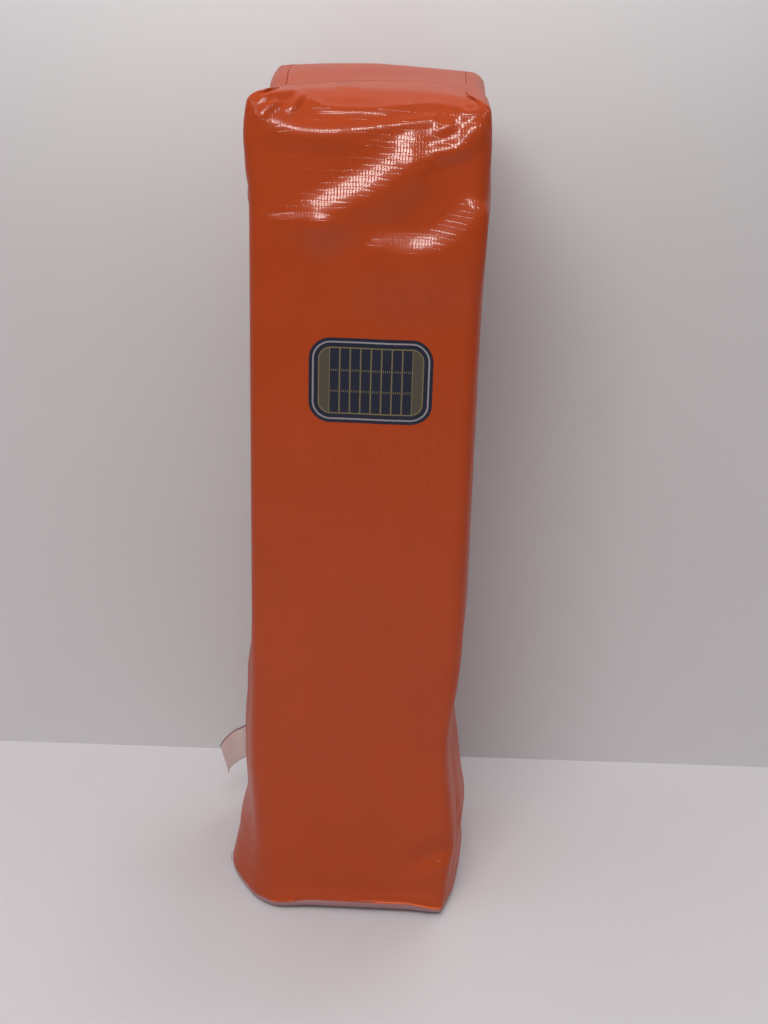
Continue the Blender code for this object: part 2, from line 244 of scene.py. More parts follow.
reach = STAGE_REACH
left, right = (WALL_DISTANCE + side * reach * math.tan(WALL_TURN) for side in (-1, 1))
corners = [(-reach, -reach, 0), (reach, -reach, 0), (reach, reach, 0), (-reach, reach, 0)]
dimmed = shaded(TABLE_COLOUR, FAR_TABLE_PAINTED_SHADE)
table, _, _ = stage_sheet("table", corners, TABLE_COLOUR, (0, 0, 0), NEAR_TABLE, FAR_TABLE, dimmed)
corners = [(-reach, left, 0), (reach, right, 0), (reach, right, WALL_HEIGHT), (-reach, left, WALL_HEIGHT)]
lit = tuple(min(channel * WALL_PAINTED_LIGHT_SHARE, 1.0) for channel in WALL_COLOUR)
wall, plaster, share = stage_sheet("wall", corners, WALL_COLOUR, WALL_LIT_PLACE, WALL_LIT_REACH, 0, lit)
plaster.shader.inputs["Emission Color"].default_value = (*linear(WALL_COLOUR), 1)
plaster.join(plaster.times(share, WALL_PAINTED_GLOW), "Emission Strength")
clear = plaster.node("BsdfTransparent").outputs[0]
behind = plaster.node("NewGeometry").outputs["Backfacing"]
both = plaster.node("MixShader", (behind, plaster.shader.outputs[0], clear)).outputs[0]
plaster.tree.links.new(both, plaster.tree.nodes["Material Output"].inputs["Surface"])
wall.visible_shadow = False
print("table and wall set, wall", WALL_DISTANCE, "m behind the pylon's middle")

# %% Lamps and room light
# Direction from the pylon, distance, width and height, share of full light
FRONT_LAMP = (-0.15, -0.66, 0.73), 1050 * MM, mm(420, 300), 0.37
GLINT_LAMP = (-0.22, -0.75, 0.62), 1300 * MM, mm(700, 300), 1.2
REAR_LAMP = (0.12, 0.20, 0.97), 1800 * MM, mm(340, 340), 0.14
LAMP_COLOUR, AIM = (1.0, 0.985, 0.965), Vector((0, 0, 230 * MM))
ROOM_LOW, ROOM_HIGH, ROOM_COLOUR = 0.32, 0.80, (0.98, 0.965, 0.975)
GLOSSY_ROOM_SHARE, SEEN_ROOM_COLOUR = 0.4, (0.70, 0.685, 0.69)


def lamp(name, direction, distance, size, share):
    """A rectangular lamp. Share is how much of full light it gives a surface that faces it.

    A lamp of power P at distance d lights a facing matt surface to P / (pi d) squared of its own
    colour, so the power is the share times (pi d) squared.
    """
    data = bpy.data.lights.new(name, "AREA")
    data.shape = "RECTANGLE"
    data.size, data.size_y = size
    data.energy = share * (math.pi * distance) ** 2
    data.color = LAMP_COLOUR
    made = bpy.data.objects.new(name, data)
    towards = Vector(direction).normalized()
    made.location = AIM + towards * distance
    made.rotation_mode = "QUATERNION"
    made.rotation_quaternion = towards.to_track_quat("Z", "Y")
    bpy.context.scene.collection.objects.link(made)
    return made


lamp("front_lamp", *FRONT_LAMP).visible_glossy = False
lamp("glint_lamp", *GLINT_LAMP).visible_diffuse = False
lamp("rear_lamp", *REAR_LAMP)
world = bpy.data.worlds.new("room")
world.use_nodes = True
bpy.context.scene.world = world
room = world.node_tree
upward = add_node(room, "SeparateXYZ", (add_node(room, "TexCoord").outputs["Generated"],)).outputs["Z"]
strength = add_node(room, "MapRange", {"Value": upward, "To Min": ROOM_LOW, "To Max": ROOM_HIGH})
background = room.nodes["Background"]
background.inputs["Color"].default_value = (*linear(ROOM_COLOUR), 1)
room.links.new(strength.outputs[0], background.inputs["Strength"])
ray = add_node(room, "LightPath").outputs
glossy = {"Value": ray["Is Glossy Ray"], "To Min": 1.0, "To Max": GLOSSY_ROOM_SHARE}
dimmer = add_node(room, "MapRange", glossy).outputs[0]
seen = add_node(room, "Background", {"Color": (*linear(SEEN_ROOM_COLOUR), 1), "Strength": dimmer})
seen_ray = ray["Is Camera Ray"]
for kind in ("Is Glossy Ray", "Is Transmission Ray"):
    seen_ray = add_node(room, "Math", (seen_ray, ray[kind]), operation="MAXIMUM").outputs[0]
either = add_node(room, "MixShader", (seen_ray, background.outputs[0], seen.outputs[0]))
room.links.new(either.outputs[0], room.nodes["World Output"].inputs["Surface"])
print("three lamps and the room light")

# %% [markdown]
# ## Sizes of the cover
#
# The cover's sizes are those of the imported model, and the rule that bends it is the same too: the
# sand and the foam settle, so the walls bow out near the table, most at their own middle, and the
# top is slightly domed. Each helper below works on whole arrays of points at once.

# %% Sizes and the settling rule
HALF_WIDTH, HALF_DEPTH, EDGE_HEIGHT, EDGE_RADIUS = mm(57, 57, 453.5, 8)
TOP_CROWN, TOP_ROLL, BASE_ROLL, SHEET = mm(3.5, 8, 4, 0.9)
TOP_HEM, BASE_HEM, ALLOWANCE, SEAM_SETBACK = mm(11, 8, 6, 46)
OPENING_RADIUS, FOLD_RADIUS, SEAM_GAP, BASE_SEAM_GAP = mm(4, 0.55, 0.05, 0.8)
LEFT_SPREAD, LEFT_FADE, LEFT_CENTRE_SHARE, LEFT_SPAN_SHARE = 16.5 * MM, 75 * MM, 0.09, 0.92
RIGHT_SPREAD, RIGHT_FADE, RIGHT_CENTRE_SHARE, RIGHT_SPAN_SHARE = 7 * MM, 110 * MM, 0.44, 1.24
BACK_SPREAD, BACK_FADE = mm(5, 110)
FRONT_CROWN, CROWN_FADE = mm(1.5, 60)


def swell(points):
    """Bends straight walls as the settled filling does.

    Each wall moves out by its spread, times a parabola along the wall, times a fall with height
    that loses two thirds of its value over each fade distance. The top rises by a crown that is
    greatest in its middle.
    """
    x, y, z = np.moveaxis(points, -1, 0)
    across, along = x / HALF_WIDTH, y / HALF_DEPTH
    left = np.clip(-across, 0, None) * (1 - ((along - LEFT_CENTRE_SHARE) / LEFT_SPAN_SHARE) ** 2)
    right = np.clip(across, 0, None) * (1 - ((along - RIGHT_CENTRE_SHARE) / RIGHT_SPAN_SHARE) ** 2)
    back = np.clip(along, 0, None) * (1 - across**2)
    front = np.clip(-along, 0, None) * (1 - across**2)
    rise = np.clip(1 - (EDGE_HEIGHT - z) / CROWN_FADE, 0, 1)
    body = np.clip(np.minimum(z, EDGE_HEIGHT - z) / CROWN_FADE, 0, 1)
    height = np.maximum(z, 0)
    moved_x = x - LEFT_SPREAD * left * np.exp(-height / LEFT_FADE)
    moved_x = moved_x + RIGHT_SPREAD * right * np.exp(-height / RIGHT_FADE)
    moved_y = y + BACK_SPREAD * back * np.exp(-height / BACK_FADE) - FRONT_CROWN * front * body
    moved_z = z + TOP_CROWN * rise**2 * (1 - across**2) * (1 - along**2)
    return np.stack([moved_x, moved_y, moved_z], axis=-1)


def hump(value, centre, width):
    """A bell: one at the centre, falling to a third at one width from it."""
    return np.exp(-(((value - centre) / width) ** 2))


def step(value, low, high):
    """Nought below low, one above high, and a smooth climb between."""
    part = np.clip((value - low) / (high - low), 0, 1)
    return part * part * (3 - 2 * part)


print("settling rule ready")

# %% [markdown]
# ## A grid of points becomes a mesh
#
# The cloth pieces are worked out as grids: rows run up the cloth and columns run round it. One
# helper turns such a grid into a mesh with smooth faces. It also stores each point's place on the
# flat cloth, in metres, as the layer that the weave is drawn on.

# %% Grid meshes


def grid_faces(rows, columns, closed=False):
    """Quads between neighbours of a grid stored row by row. A closed grid's last column meets its first."""
    here = np.arange(columns if closed else columns - 1)
    there = (here + 1) % columns
    low = np.arange(rows - 1)[:, None] * columns
    quads = np.stack([low + here, low + there, low + columns + there, low + columns + here], axis=-1)
    return quads.reshape(-1, 4).tolist()


def mesh_piece(name, points, faces, flat, finish=None):
    """A smooth-shaded object at the origin from points, faces and each point's place on the flat cloth."""
    mesh = bpy.data.meshes.new(name)
    mesh.from_pydata(points.tolist(), [], faces)
    mesh.shade_smooth()
    corners = np.empty(len(mesh.loops), dtype=np.int32)
    mesh.loops.foreach_get("vertex_index", corners)
    layer = mesh.uv_layers.new(name="cloth")
    layer.data.foreach_set("uv", np.asarray(flat, dtype=np.float32)[corners].ravel())
    piece = bpy.data.objects.new(name, mesh)
    bpy.context.scene.collection.objects.link(piece)
    if finish:
        mesh.materials.append(finish)
    return piece


def grid_piece(name, grid, flat, finish=None, closed=False):
    """A cloth piece from a grid of points and a grid of their places on the flat cloth."""
    faces = grid_faces(*grid.shape[:2], closed)
    return mesh_piece(name, grid.reshape(-1, 3), faces, flat.reshape(-1, 2), finish)


def thicken(piece, sheet, offset=-1):
    """Gives a piece of cloth its thickness: inwards, or half to each side with an offset of nought."""
    solid = piece.modifiers.new("Sheet", "SOLIDIFY")
    solid.thickness = sheet
    solid.offset = offset


def lengths_along(grid, axis):
    """Distance run along a grid's rows or columns, starting from nought."""
    steps = np.linalg.norm(np.diff(grid, axis=axis), axis=-1)
    start = np.zeros_like(np.take(steps, [0], axis=axis))
    return np.concatenate([start, np.cumsum(steps, axis=axis)], axis=axis)


def unit(vectors):
    """The same directions with a length of one."""
    return vectors / np.maximum(np.linalg.norm(vectors, axis=-1, keepdims=True), 1e-12)


def outward(grid, closed=False):
    """Unit normals of a grid: the cross product of the step along a row and the step up a column."""
    along = np.roll(grid, -1, axis=1) - np.roll(grid, 1, axis=1) if closed else np.gradient(grid, axis=1)
    return unit(np.cross(along, np.gradient(grid, axis=0)))


print("grid helpers ready")

# %% [markdown]
# ## The outline of the cover
#
# Seen from above, the cover is a square with rounded corners. The outline starts at the left rear
# corner, where the cloth's two ends meet in the closing seam, and runs by the left, the front, the
# right and the back to the same corner. Each column keeps its own direction outwards, so an
# outline can be drawn in by any distance, and each corner may have its own radius at each height.
# The front left corner is worn round near the table, and the front right one is pulled sharp.

# %% Outline of the cover
CORNER_STEPS, SIDE_STEPS = 8, [36, 84, 36, 36, 0]
CORNER_TURNS = np.radians([135, 180, 180, 270, 270, 360, 360, 450, 450, 495])
CORNERS = [0, 1, 2, 3, 0]


def columns():
    """For each column: its corner, the next corner, its direction and its share of the way between them.

    A column on a corner's arc has no share of the way. A column on a side stays facing that side.
    """
    first, second, facing, share = [], [], [], []
    for place, (corner, side) in enumerate(zip(CORNERS, SIDE_STEPS)):
        steps = CORNER_STEPS // 2 if place in (0, len(CORNERS) - 1) else CORNER_STEPS
        turns = np.linspace(CORNER_TURNS[2 * place], CORNER_TURNS[2 * place + 1], steps + 1)
        along = np.linspace(0, 1, side + 1)[1:-1] if side else np.array([])
        first += [corner] * (len(turns) + len(along))
        second += [corner] * len(turns) + [(corner + 1) % 4] * len(along)
        facing += list(turns) + [turns[-1]] * len(along)
        share += [0.0] * len(turns) + list(along)
    return np.array(first), np.array(second), np.array(facing), np.array(share)


COLUMN_FIRST, COLUMN_SECOND, COLUMN_FACING, COLUMN_SHARE = columns()
COLUMN_OUT = np.stack([np.cos(COLUMN_FACING), np.sin(COLUMN_FACING)], axis=-1)


def outline(hem, front, inset, height, radii):
    """Rows of rounded rectangles, a hem inside the cover's faces and then drawn in by each row's inset.

    Front is where the front edge lies before it is drawn in. A point is its corner's centre plus the
    radius in its own direction. On a side it is mixed between the ends of the two arcs by its share
    of the way.
    """
    side, back, front = HALF_WIDTH - hem - inset, HALF_DEPTH - hem - inset, front + inset
    radii = np.broadcast_to(radii, (len(inset), 4))
    pairs = ((-side, back), (-side, front), (side, front), (side, back))
    corner = np.stack([np.stack(pair, axis=-1) for pair in pairs], axis=1)
    inward = np.array([(1, -1), (1, 1), (-1, 1), (-1, -1)])
    centre = corner + inward * radii[..., None]
    start = centre[:, COLUMN_FIRST] + radii[:, COLUMN_FIRST, None] * COLUMN_OUT
    end = centre[:, COLUMN_SECOND] + radii[:, COLUMN_SECOND, None] * COLUMN_OUT
    share = COLUMN_SHARE[:, None]
    flat = start * (1 - share) + end * share
    return np.concatenate([flat, np.broadcast_to(height[:, None, None], (*flat.shape[:2], 1))], axis=-1)


FRONT_LEFT_WEAR, WEAR_FADE, FRONT_RIGHT_PULL, PULL_FADE = mm(3.2, 24, 5, 40)


def corner_radii(height):
    """Radius of the four corners at each height: rear left, front left, front right, rear right."""
    height = np.maximum(height, 0)
    even = np.full_like(height, EDGE_RADIUS)
    worn = EDGE_RADIUS + FRONT_LEFT_WEAR * np.exp(-height / WEAR_FADE)
    pulled = EDGE_RADIUS - FRONT_RIGHT_PULL * np.exp(-height / PULL_FADE)
    return np.stack([even, worn, pulled, even], axis=-1)


def even_rows(inset, height):
    """An inset and a height for each row, from one value or one for each row."""
    return (np.atleast_1d(value) for value in np.broadcast_arrays(inset, height))


def wall_rows(inset, height, ease=0.0):
    """Rows of the outer wall, drawn in by inset. Ease adds to the radius of the left rear corner."""
    inset, height = even_rows(inset, height)
    radii = np.maximum(corner_radii(height) - inset[:, None], OPENING_RADIUS / 2)
    radii[:, 0] += ease
    return outline(0.0, -HALF_DEPTH, inset, height, radii)


print(len(COLUMN_SHARE), "columns round the cover")

# %% [markdown]
# ## The sleeve, laid out straight
#
# The sleeve is one sheet. Read from its lower end upwards it is: an allowance inside the foot, a
# narrow strip under the pylon, a small roll, the wall, a larger roll over the top edge, a strip on
# top that is wide at the front and narrow elsewhere, a fold and the allowance inside the top seam.
# Each of these is a few rows of the grid. The roll is fuller at the front, where the cloth is drawn
# over the soft edge of the foam instead of round a hard one.

# %% The sleeve's rows
ROLL_STEPS, FOLD_STEPS, TOP_STRIP_STEPS = 10, 4, 18
FRONT_ROLL_DEEPER, FRONT_ROLL_LONGER = mm(13, 14)
FRONT_FOOT_DEEPER, FRONT_FOOT_LONGER, FOOT_BLEND = mm(4.5, 3.6, 30)
CORNER_SHARE, CORNER_RUN = 0.4, 22 * MM
TOP_OF_WALL = EDGE_HEIGHT - TOP_ROLL - FRONT_ROLL_LONGER
LOW_WALL, HIGH_WALL, LOW_ROWS, MIDDLE_ROWS, HIGH_ROWS = 60 * MM, 345 * MM, 44, 40, 66
SEAM_LINE = -HALF_DEPTH + SEAM_SETBACK
BASE_PLACE, TOP_PLACE = (BASE_HEM, BASE_HEM - HALF_DEPTH), (TOP_HEM, SEAM_LINE)
front_run = HALF_WIDTH - EDGE_RADIUS - np.abs(wall_rows(0, EDGE_HEIGHT)[..., 0])
FRONT_SHARE = step(-COLUMN_OUT[None, :, 1], 0.3, 1)
FRONT_SHARE = FRONT_SHARE * (CORNER_SHARE + (1 - CORNER_SHARE) * step(front_run, 0, CORNER_RUN))


def quarter(steps, radius=1.0):
    """Inset and drop of a quarter circle, from the flat face to the wall."""
    angles = np.linspace(0, math.pi / 2, steps + 1)
    return (1 - np.sin(angles)) * radius, (1 - np.cos(angles)) * radius


def opening(place, inset, height):
    """Rows round an opening, drawn in by inset. Its place is its hem at three sides and its front edge."""
    hem, front = place
    inset, height = even_rows(inset, height)
    radii = np.maximum(OPENING_RADIUS - inset, FOLD_RADIUS)[:, None]
    return outline(hem, front, inset, height, radii)


def top_roll(gap, ease=0.0):
    """Rows of the roll over the top edge, for a surface that lies a gap inside the sleeve.

    The roll is a quarter ellipse. Its radius shrinks by the gap. At the front it is longer and
    deeper by the share of each column that faces forwards.
    """
    roll_in, roll_down = (share[-2::-1, None] for share in quarter(2 * ROLL_STEPS))
    radius = TOP_ROLL - gap
    longer = FRONT_ROLL_LONGER * FRONT_SHARE
    rows = wall_rows(gap + roll_in[:, 0] * radius, EDGE_HEIGHT - gap, ease)
    rows[..., 2] -= (radius + longer) * roll_down + (FRONT_ROLL_LONGER - longer) * step(roll_down, 0.5, 1.0)
    rows[..., :2] -= (FRONT_ROLL_DEEPER * FRONT_SHARE * roll_in)[..., None] * COLUMN_OUT
    return rows


def between(first, second, steps):
    """Rows that lead evenly from one outline to another, without the two themselves."""
    share = np.linspace(0, 1, steps + 1)[1:-1, None, None]
    return first * (1 - share) + second * share


def straight_sleeve():
    """The unbent sleeve as one grid, and the number of its first wall row."""
    inward, drop = quarter(FOLD_STEPS, FOLD_RADIUS)
    foot_in, foot_up = quarter(ROLL_STEPS)
    foot = wall_rows(foot_in * BASE_ROLL, foot_up * BASE_ROLL)
    foot[..., 2] += FRONT_FOOT_LONGER * FRONT_SHARE * foot_up[:, None]
    foot[..., :2] -= (FRONT_FOOT_DEEPER * FRONT_SHARE * foot_in[:, None])[..., None] * COLUMN_OUT
    parts = [opening(BASE_PLACE, 0, ALLOWANCE), opening(BASE_PLACE, -inward[::-1], drop[::-1]), foot]
    first_wall = sum(len(part) for part in parts)
    levels, counts = (BASE_ROLL, LOW_WALL, HIGH_WALL, TOP_OF_WALL), (LOW_ROWS, MIDDLE_ROWS, HIGH_ROWS)
    zones = zip(levels, levels[1:], counts)
    heights = np.concatenate([np.linspace(low, high, count + 1)[1:] for low, high, count in zones])
    wall = wall_rows(0, heights)
    above_foot = 1 - step(heights, BASE_ROLL, BASE_ROLL + FOOT_BLEND)
    wall[..., 2] += FRONT_FOOT_LONGER * FRONT_SHARE * above_foot[:, None]
    roll = top_roll(0.0)
    strip = between(roll[-1:], opening(TOP_PLACE, -FOLD_RADIUS, EDGE_HEIGHT), TOP_STRIP_STEPS)
    parts += [wall, roll, strip, opening(TOP_PLACE, -inward, EDGE_HEIGHT - drop)]
    parts.append(opening(TOP_PLACE, 0, EDGE_HEIGHT - ALLOWANCE))
    return np.concatenate(parts), first_wall


SLEEVE, FIRST_WALL = straight_sleeve()
print("sleeve grid", SLEEVE.shape[:2])

# %% [markdown]
# ## How this pylon has settled
#
# On top of the even swelling, this pylon has its own shape. The top seam pulls the cloth in and
# down, hardest at its left end, so that the front part stands out as a small ear beside it. The
# top behind the seam is fuller. Lower down, the left wall bulges and the right wall is drawn in a
# little above the sand. At the table the front leans forwards to a small lip, and its right corner
# is drawn in. Each of these is a bell or a smooth step in place, added to all the pieces of the
# cover alike, so that they still meet at their seams.

# %% The settled shape
LEFT_PINCH, RIGHT_PINCH, PINCH_DEPTH = mm(4.6, 1.6, 40)
PINCH_FRONT_REACH, PINCH_REAR_REACH, PINCH_REST_SHARE = 7 * MM, 26 * MM, 0.3
EAR_LEFT, EAR_RIGHT, EAR_LIFT = mm(3.1, 0.6, 2.0)
EAR_SPAN, EAR_LIFT_SPAN = (0.4, 0.95), (0.55, 0.95)
# Height of the middle, and reach up and down
EAR, FULLNESS, BULGE = mm(440, 20), mm(396, 36), mm(100, 34)
WAIST, REAR_WAIST, BELLY = mm(106, 34), mm(45, 27), mm(44, 20)
BULGE_OUT, BULGE_ROUND, WAIST_IN, REAR_WAIST_IN = 2.8 * MM, 0.7, 5.0 * MM, 4.0 * MM
LEFT_FULLNESS, RIGHT_FULLNESS, RIGHT_BELLY, REAR_CORNER_FULLNESS = mm(1.3, 1.4, 1.4, 0.8)
WAIST_REST, WAIST_SPAN, REAR_WAIST_SPAN, REAR_CORNER_SPAN = 0.9, (-0.2, 0.8), (-0.1, 0.5), (0.55, 1.0)
BODY_FOOT, BODY_TOP = mm(20, 90), (EDGE_HEIGHT - 35 * MM, EDGE_HEIGHT - 5 * MM)
LEFT_TOE, LEFT_TOE_PLACE, LEFT_TOE_REACH, LEFT_TOE_HEIGHT = mm(4.4, -27, 20, 52)
TOE_DRAW, TOE_HEIGHT, TOE_REACH, TOE_CURVE = 4.0 * MM, 45 * MM, 12 * MM, 1.3
LEAN, LEAN_HEIGHT, LEAN_TILT = 4.5 * MM, 110 * MM, 0.08
LIP, LIP_LOW, LIP_HIGH = mm(2.2, 5, 17)
SEAM_TILT_SHARE, SEAM_SINK, SEAM_REACH = 0.030, 0.8 * MM, 16 * MM
REAR_LIFT, REAR_TILT_SHARE, REAR_SPAN, REAR_END, REAR_LOSS = 3.0 * MM, -0.016, (0.0, 0.75), (0.8, 1.1), 0.6


def settle(points):
    """Swells the straight cloth and adds this pylon's own pinches, ears and corners.

    The left and right walls move outwards, the front forwards and the top up. Each part of a move
    is its size times a bell or a step in height, times where it acts along the wall.
    """
    x, y, z = np.moveaxis(points, -1, 0)
    across, along = x / HALF_WIDTH, y / HALF_DEPTH
    to_left, to_right, to_front = (np.clip(side, 0, 1) ** 3 for side in (-across, across, -along))
    near_top = step(z, EDGE_HEIGHT - PINCH_DEPTH, EDGE_HEIGHT - TOP_ROLL / 2)
    behind = y > SEAM_LINE
    fall = np.where(behind, PINCH_REAR_REACH, PINCH_FRONT_REACH)
    rest = np.where(behind, PINCH_REST_SHARE, 0)
    pinch = near_top * (rest + (1 - rest) * hump(y, SEAM_LINE, fall))
    ear = hump(z, *EAR) * step(-along, *EAR_SPAN)
    left = EAR_LEFT * ear - LEFT_PINCH * pinch
    left += LEFT_FULLNESS * step(z, *BODY_FOOT) * (1 - step(z, *BODY_TOP))
    left += BULGE_OUT * hump(z, *BULGE) * (1 - along**2 * BULGE_ROUND)
    left += REAR_CORNER_FULLNESS * near_top * step(along, *REAR_CORNER_SPAN)
    left_toe = LEFT_TOE * hump(y, LEFT_TOE_PLACE, LEFT_TOE_REACH) * (1 - step(z, 0, LEFT_TOE_HEIGHT))
    right = EAR_RIGHT * ear - RIGHT_PINCH * pinch
    right -= WAIST_IN * hump(z, *WAIST) * (WAIST_REST + (1 - WAIST_REST) * step(-along, *WAIST_SPAN))
    right -= REAR_WAIST_IN * hump(z, *REAR_WAIST) * step(along, *REAR_WAIST_SPAN)
    right += RIGHT_FULLNESS * hump(z, *FULLNESS) + RIGHT_BELLY * hump(z, *BELLY)
    right -= TOE_DRAW * np.clip(1 - z / TOE_HEIGHT, 0, 1) ** TOE_CURVE * hump(y, -HALF_DEPTH, TOE_REACH)
    shift_x = right * to_right - left * to_left - left_toe * np.clip(-across, 0, 1)
    lean = LEAN * (1 - step(z, 0, LEAN_HEIGHT)) * (1 + LEAN_TILT * across)
    shift_y = -to_front * (lean + LIP * (1 - step(z, LIP_LOW, LIP_HIGH)))
    lift = hump(y, SEAM_LINE, SEAM_REACH) * (SEAM_TILT_SHARE * x - SEAM_SINK)
    rear = step(along, *REAR_SPAN) * (1 - step(along, *REAR_END) * REAR_LOSS)
    lift += rear * (REAR_LIFT + REAR_TILT_SHARE * x) * np.clip(1 - np.abs(across), 0, 1) ** 0.5
    lift += EAR_LIFT * to_left * step(-along, *EAR_LIFT_SPAN)
    rise = np.clip(1 - (EDGE_HEIGHT - z) / CROWN_FADE, 0, 1) ** 2
    return swell(points) + np.stack([shift_x, shift_y, rise * lift], axis=-1)


print("settled shape ready")

# %% [markdown]
# ## The closing seam
#
# The wrap's two ends meet at the left rear edge. Each end turns inwards round a small radius and
# runs on for a few millimetres as an allowance, where the stitches hold the two together. From
# outside only a fine line with two soft shoulders shows. The end columns of the grid are therefore
# replaced by a short profile, laid out from the surface's own direction at each row.

# %% Closing seam
CLOSING_ROLL, CLOSING_GAP, CLOSING_ALLOWANCE = mm(1.1, 0.15, 2.2)
CLOSING_STEPS, CLOSING_RUN = 4, 2
INNER_ROWS_SHARE = 0.2


def closing_profile():
    """Steps (away from the seam, inwards) from the surface round the roll and down the allowance."""
    turn = np.linspace(0, math.pi / 2, CLOSING_STEPS + 1)
    away = CLOSING_GAP + CLOSING_ROLL * (1 - np.sin(turn))
    inward = CLOSING_ROLL * (1 - np.cos(turn))
    run = np.linspace(0, 1, CLOSING_RUN + 1)[1:]
    away = np.concatenate([away, np.full(CLOSING_RUN, CLOSING_GAP)])
    inward = np.concatenate([inward, CLOSING_ROLL + run * CLOSING_ALLOWANCE])
    return away, inward


def with_closing_seam(grid, inner):
    """The grid with its end columns turned in. Inner marks the rows whose allowance is short."""
    normal = outward(grid)
    away, inward = closing_profile()
    depth = np.where(inner, INNER_ROWS_SHARE, 1.0)[:, None, None] * inward[None, :, None]
    ends = []
    for column, beside in ((0, 1), (-1, -2)):
        along = unit(grid[:, beside] - grid[:, column])
        turned = grid[:, column, None] + along[:, None] * away[None, :, None]
        turned = turned - normal[:, column, None] * depth
        ends.append(turned)
    return np.concatenate([ends[0][:, ::-1], grid[:, 1:-1], ends[1]], axis=1)


print(len(closing_profile()[0]), "columns turned in at each end")

# %% [markdown]
# ## Folds
#
# Pulled cloth makes folds that start at a seam or a corner and die out in the plain part. Seen in
# section, such a fold steps outwards quickly on its upper side and falls back slowly below. Each
# fold here is a smooth line on the flat cloth with a few sizes, and every point of the cloth takes
# its distance above or below the line, and its place along it, from the nearest point of the line.
# The lines on the front follow the photographed ones. The other walls aren't seen, so theirs are
# made up in the same manner.

# %% Folds
LINE_STEPS = 10


def resampled(places, position):
    """Values between evenly numbered ones, by Catmull-Rom cubics: position 1.5 is half way from 1 to 2."""
    places = np.asarray(places, dtype=float)
    padded = np.concatenate([[2 * places[0] - places[1]], places, [2 * places[-1] - places[-2]]])
    first = np.clip(position.astype(int), 0, len(places) - 2)
    part = (position - first).reshape((-1,) + (1,) * (places.ndim - 1))
    before, start, end, after = (padded[first + shift] for shift in range(4))
    bend = 2 * before - 5 * start + 4 * end - after
    turn = 3 * start - before - 3 * end + after
    return (2 * start + (end - before) * part + bend * part**2 + turn * part**3) / 2


def smooth_line(places, steps=LINE_STEPS):
    """A smooth line through places, with that many steps from each to the next."""
    return resampled(places, np.linspace(0, len(places) - 1, (len(places) - 1) * steps + 1))


def fold(flat, rise, upper, lower, fade_in, fade_out, places):
    """Height of one fold over points of the flat cloth.

    The height is the rise, times a smooth fall to nought at the upper or the lower width, times a
    smooth climb over the first share of the line and a smooth fall over its last share.
    """
    line = smooth_line(np.asarray(places) * MM)
    tangent = unit(np.gradient(line, axis=0))
    above = np.stack([-tangent[:, 1], tangent[:, 0]], axis=-1)
    reach = max(upper, lower) * MM
    low, high = line.min(0) - reach, line.max(0) + reach
    near = np.all((flat > low) & (flat < high), axis=-1)
    gap = flat[near][:, None] - line[None]
    nearest = np.argmin((gap**2).sum(-1), axis=1)
    gap = gap[np.arange(len(gap)), nearest]
    distance = (gap * above[nearest]).sum(-1)
    beyond = np.abs((gap * tangent[nearest]).sum(-1))
    run = nearest / (len(line) - 1)
    shape = np.where(distance > 0, 1 - step(distance, 0, upper * MM), 1 - step(-distance, 0, lower * MM))
    shape = shape * step(run, -0.001, fade_in) * (1 - step(run, 1 - fade_out, 1.001))
    shape = shape * (1 - step(beyond, 0, reach))
    height = np.zeros(flat.shape[:-1])
    height[near] = shape * rise * MM
    return height


# Rise, upper and lower width in mm, share that fades in and out, and places right of the middle and up
FRONT_FOLDS = [
    (1.7, 8, 11, 0.15, 0.35, [(-53, 441), (-44, 436.5), (-33, 433.5), (-19, 433), (-9, 434.5), (2, 436)]),
    (1.2, 3.4, 5, 0.3, 0.08, [(-12, 434.5), (0, 436), (12, 438), (23, 440), (33, 442)]),
    (1.1, 4, 2.0, 0.15, 0.05,
     [(-31, 452), (-26, 447), (-21, 444.5), (-14, 444), (0, 444.2), (9, 445.6), (23, 447.8), (36, 449.5)]),
    (1.0, 3, 3.0, 0.3, 0.3, [(38.5, 450.5), (41, 448.5), (45, 445.5), (50, 447), (54, 444)]),
    (4.6, 16, 21, 0.3, 0.2,
     [(-42, 384), (-32, 387), (-24, 390.5), (-15, 395.5), (-4, 401.5), (6, 407), (15, 414), (23, 421),
      (32, 427)]),
    (2.6, 6, 9, 0.3, 0.15,
     [(15, 419.5), (27, 422.8), (34.5, 426.3), (38.5, 428), (44.5, 431.5), (47, 436), (51, 440), (55, 442)]),
    (1.2, 4, 4, 0.3, 0.3, [(30, 433), (36, 438), (40, 440)]),
    (0.75, 2.6, 14, 0.15, 0.5, [(-53, 395), (-38, 393.5), (-24, 393), (-12, 391.5), (0, 388)]),
    (3.8, 13.5, 40, 0.27, 0.1,
     [(-18, 383.5), (-6, 381.5), (4, 379), (14, 376.5), (24, 376), (33, 378), (41, 383), (48, 390.5),
      (54, 399), (57.5, 407)]),
    (2.0, 3.5, 3.5, 0.3, 0.3, [(-54, 447), (-48, 452), (-40, 454), (-31, 456)]),
    (2.0, 3.5, 3.5, 0.3, 0.3, [(-39, 442), (-36, 446), (-34, 450), (-31, 455)]),
    (1.7, 3.5, 3.5, 0.3, 0.3, [(-54, 436), (-51, 442), (-46, 447), (-41, 449)]),
    (0.7, 2.5, 2.5, 0.3, 0.3, [(-20, 464), (-10, 461), (-4, 459)]),
    (-2.8, 13, 8, 0.5, 0.1, [(26, 16), (32, 23), (38, 30), (44, 35), (52, 38.5), (60, 39)]),
    (1.1, 2.6, 2.0, 0.3, 0.3, [(-49, 3.2), (-40, 4.0), (-30, 3.2)]),
    (1.25, 2.4, 1.8, 0.4, 0.1, [(-24, 2.8), (2, 3.0), (18, 3.2), (36, 3.0), (50, 3.2), (56, 3.0)]),
]
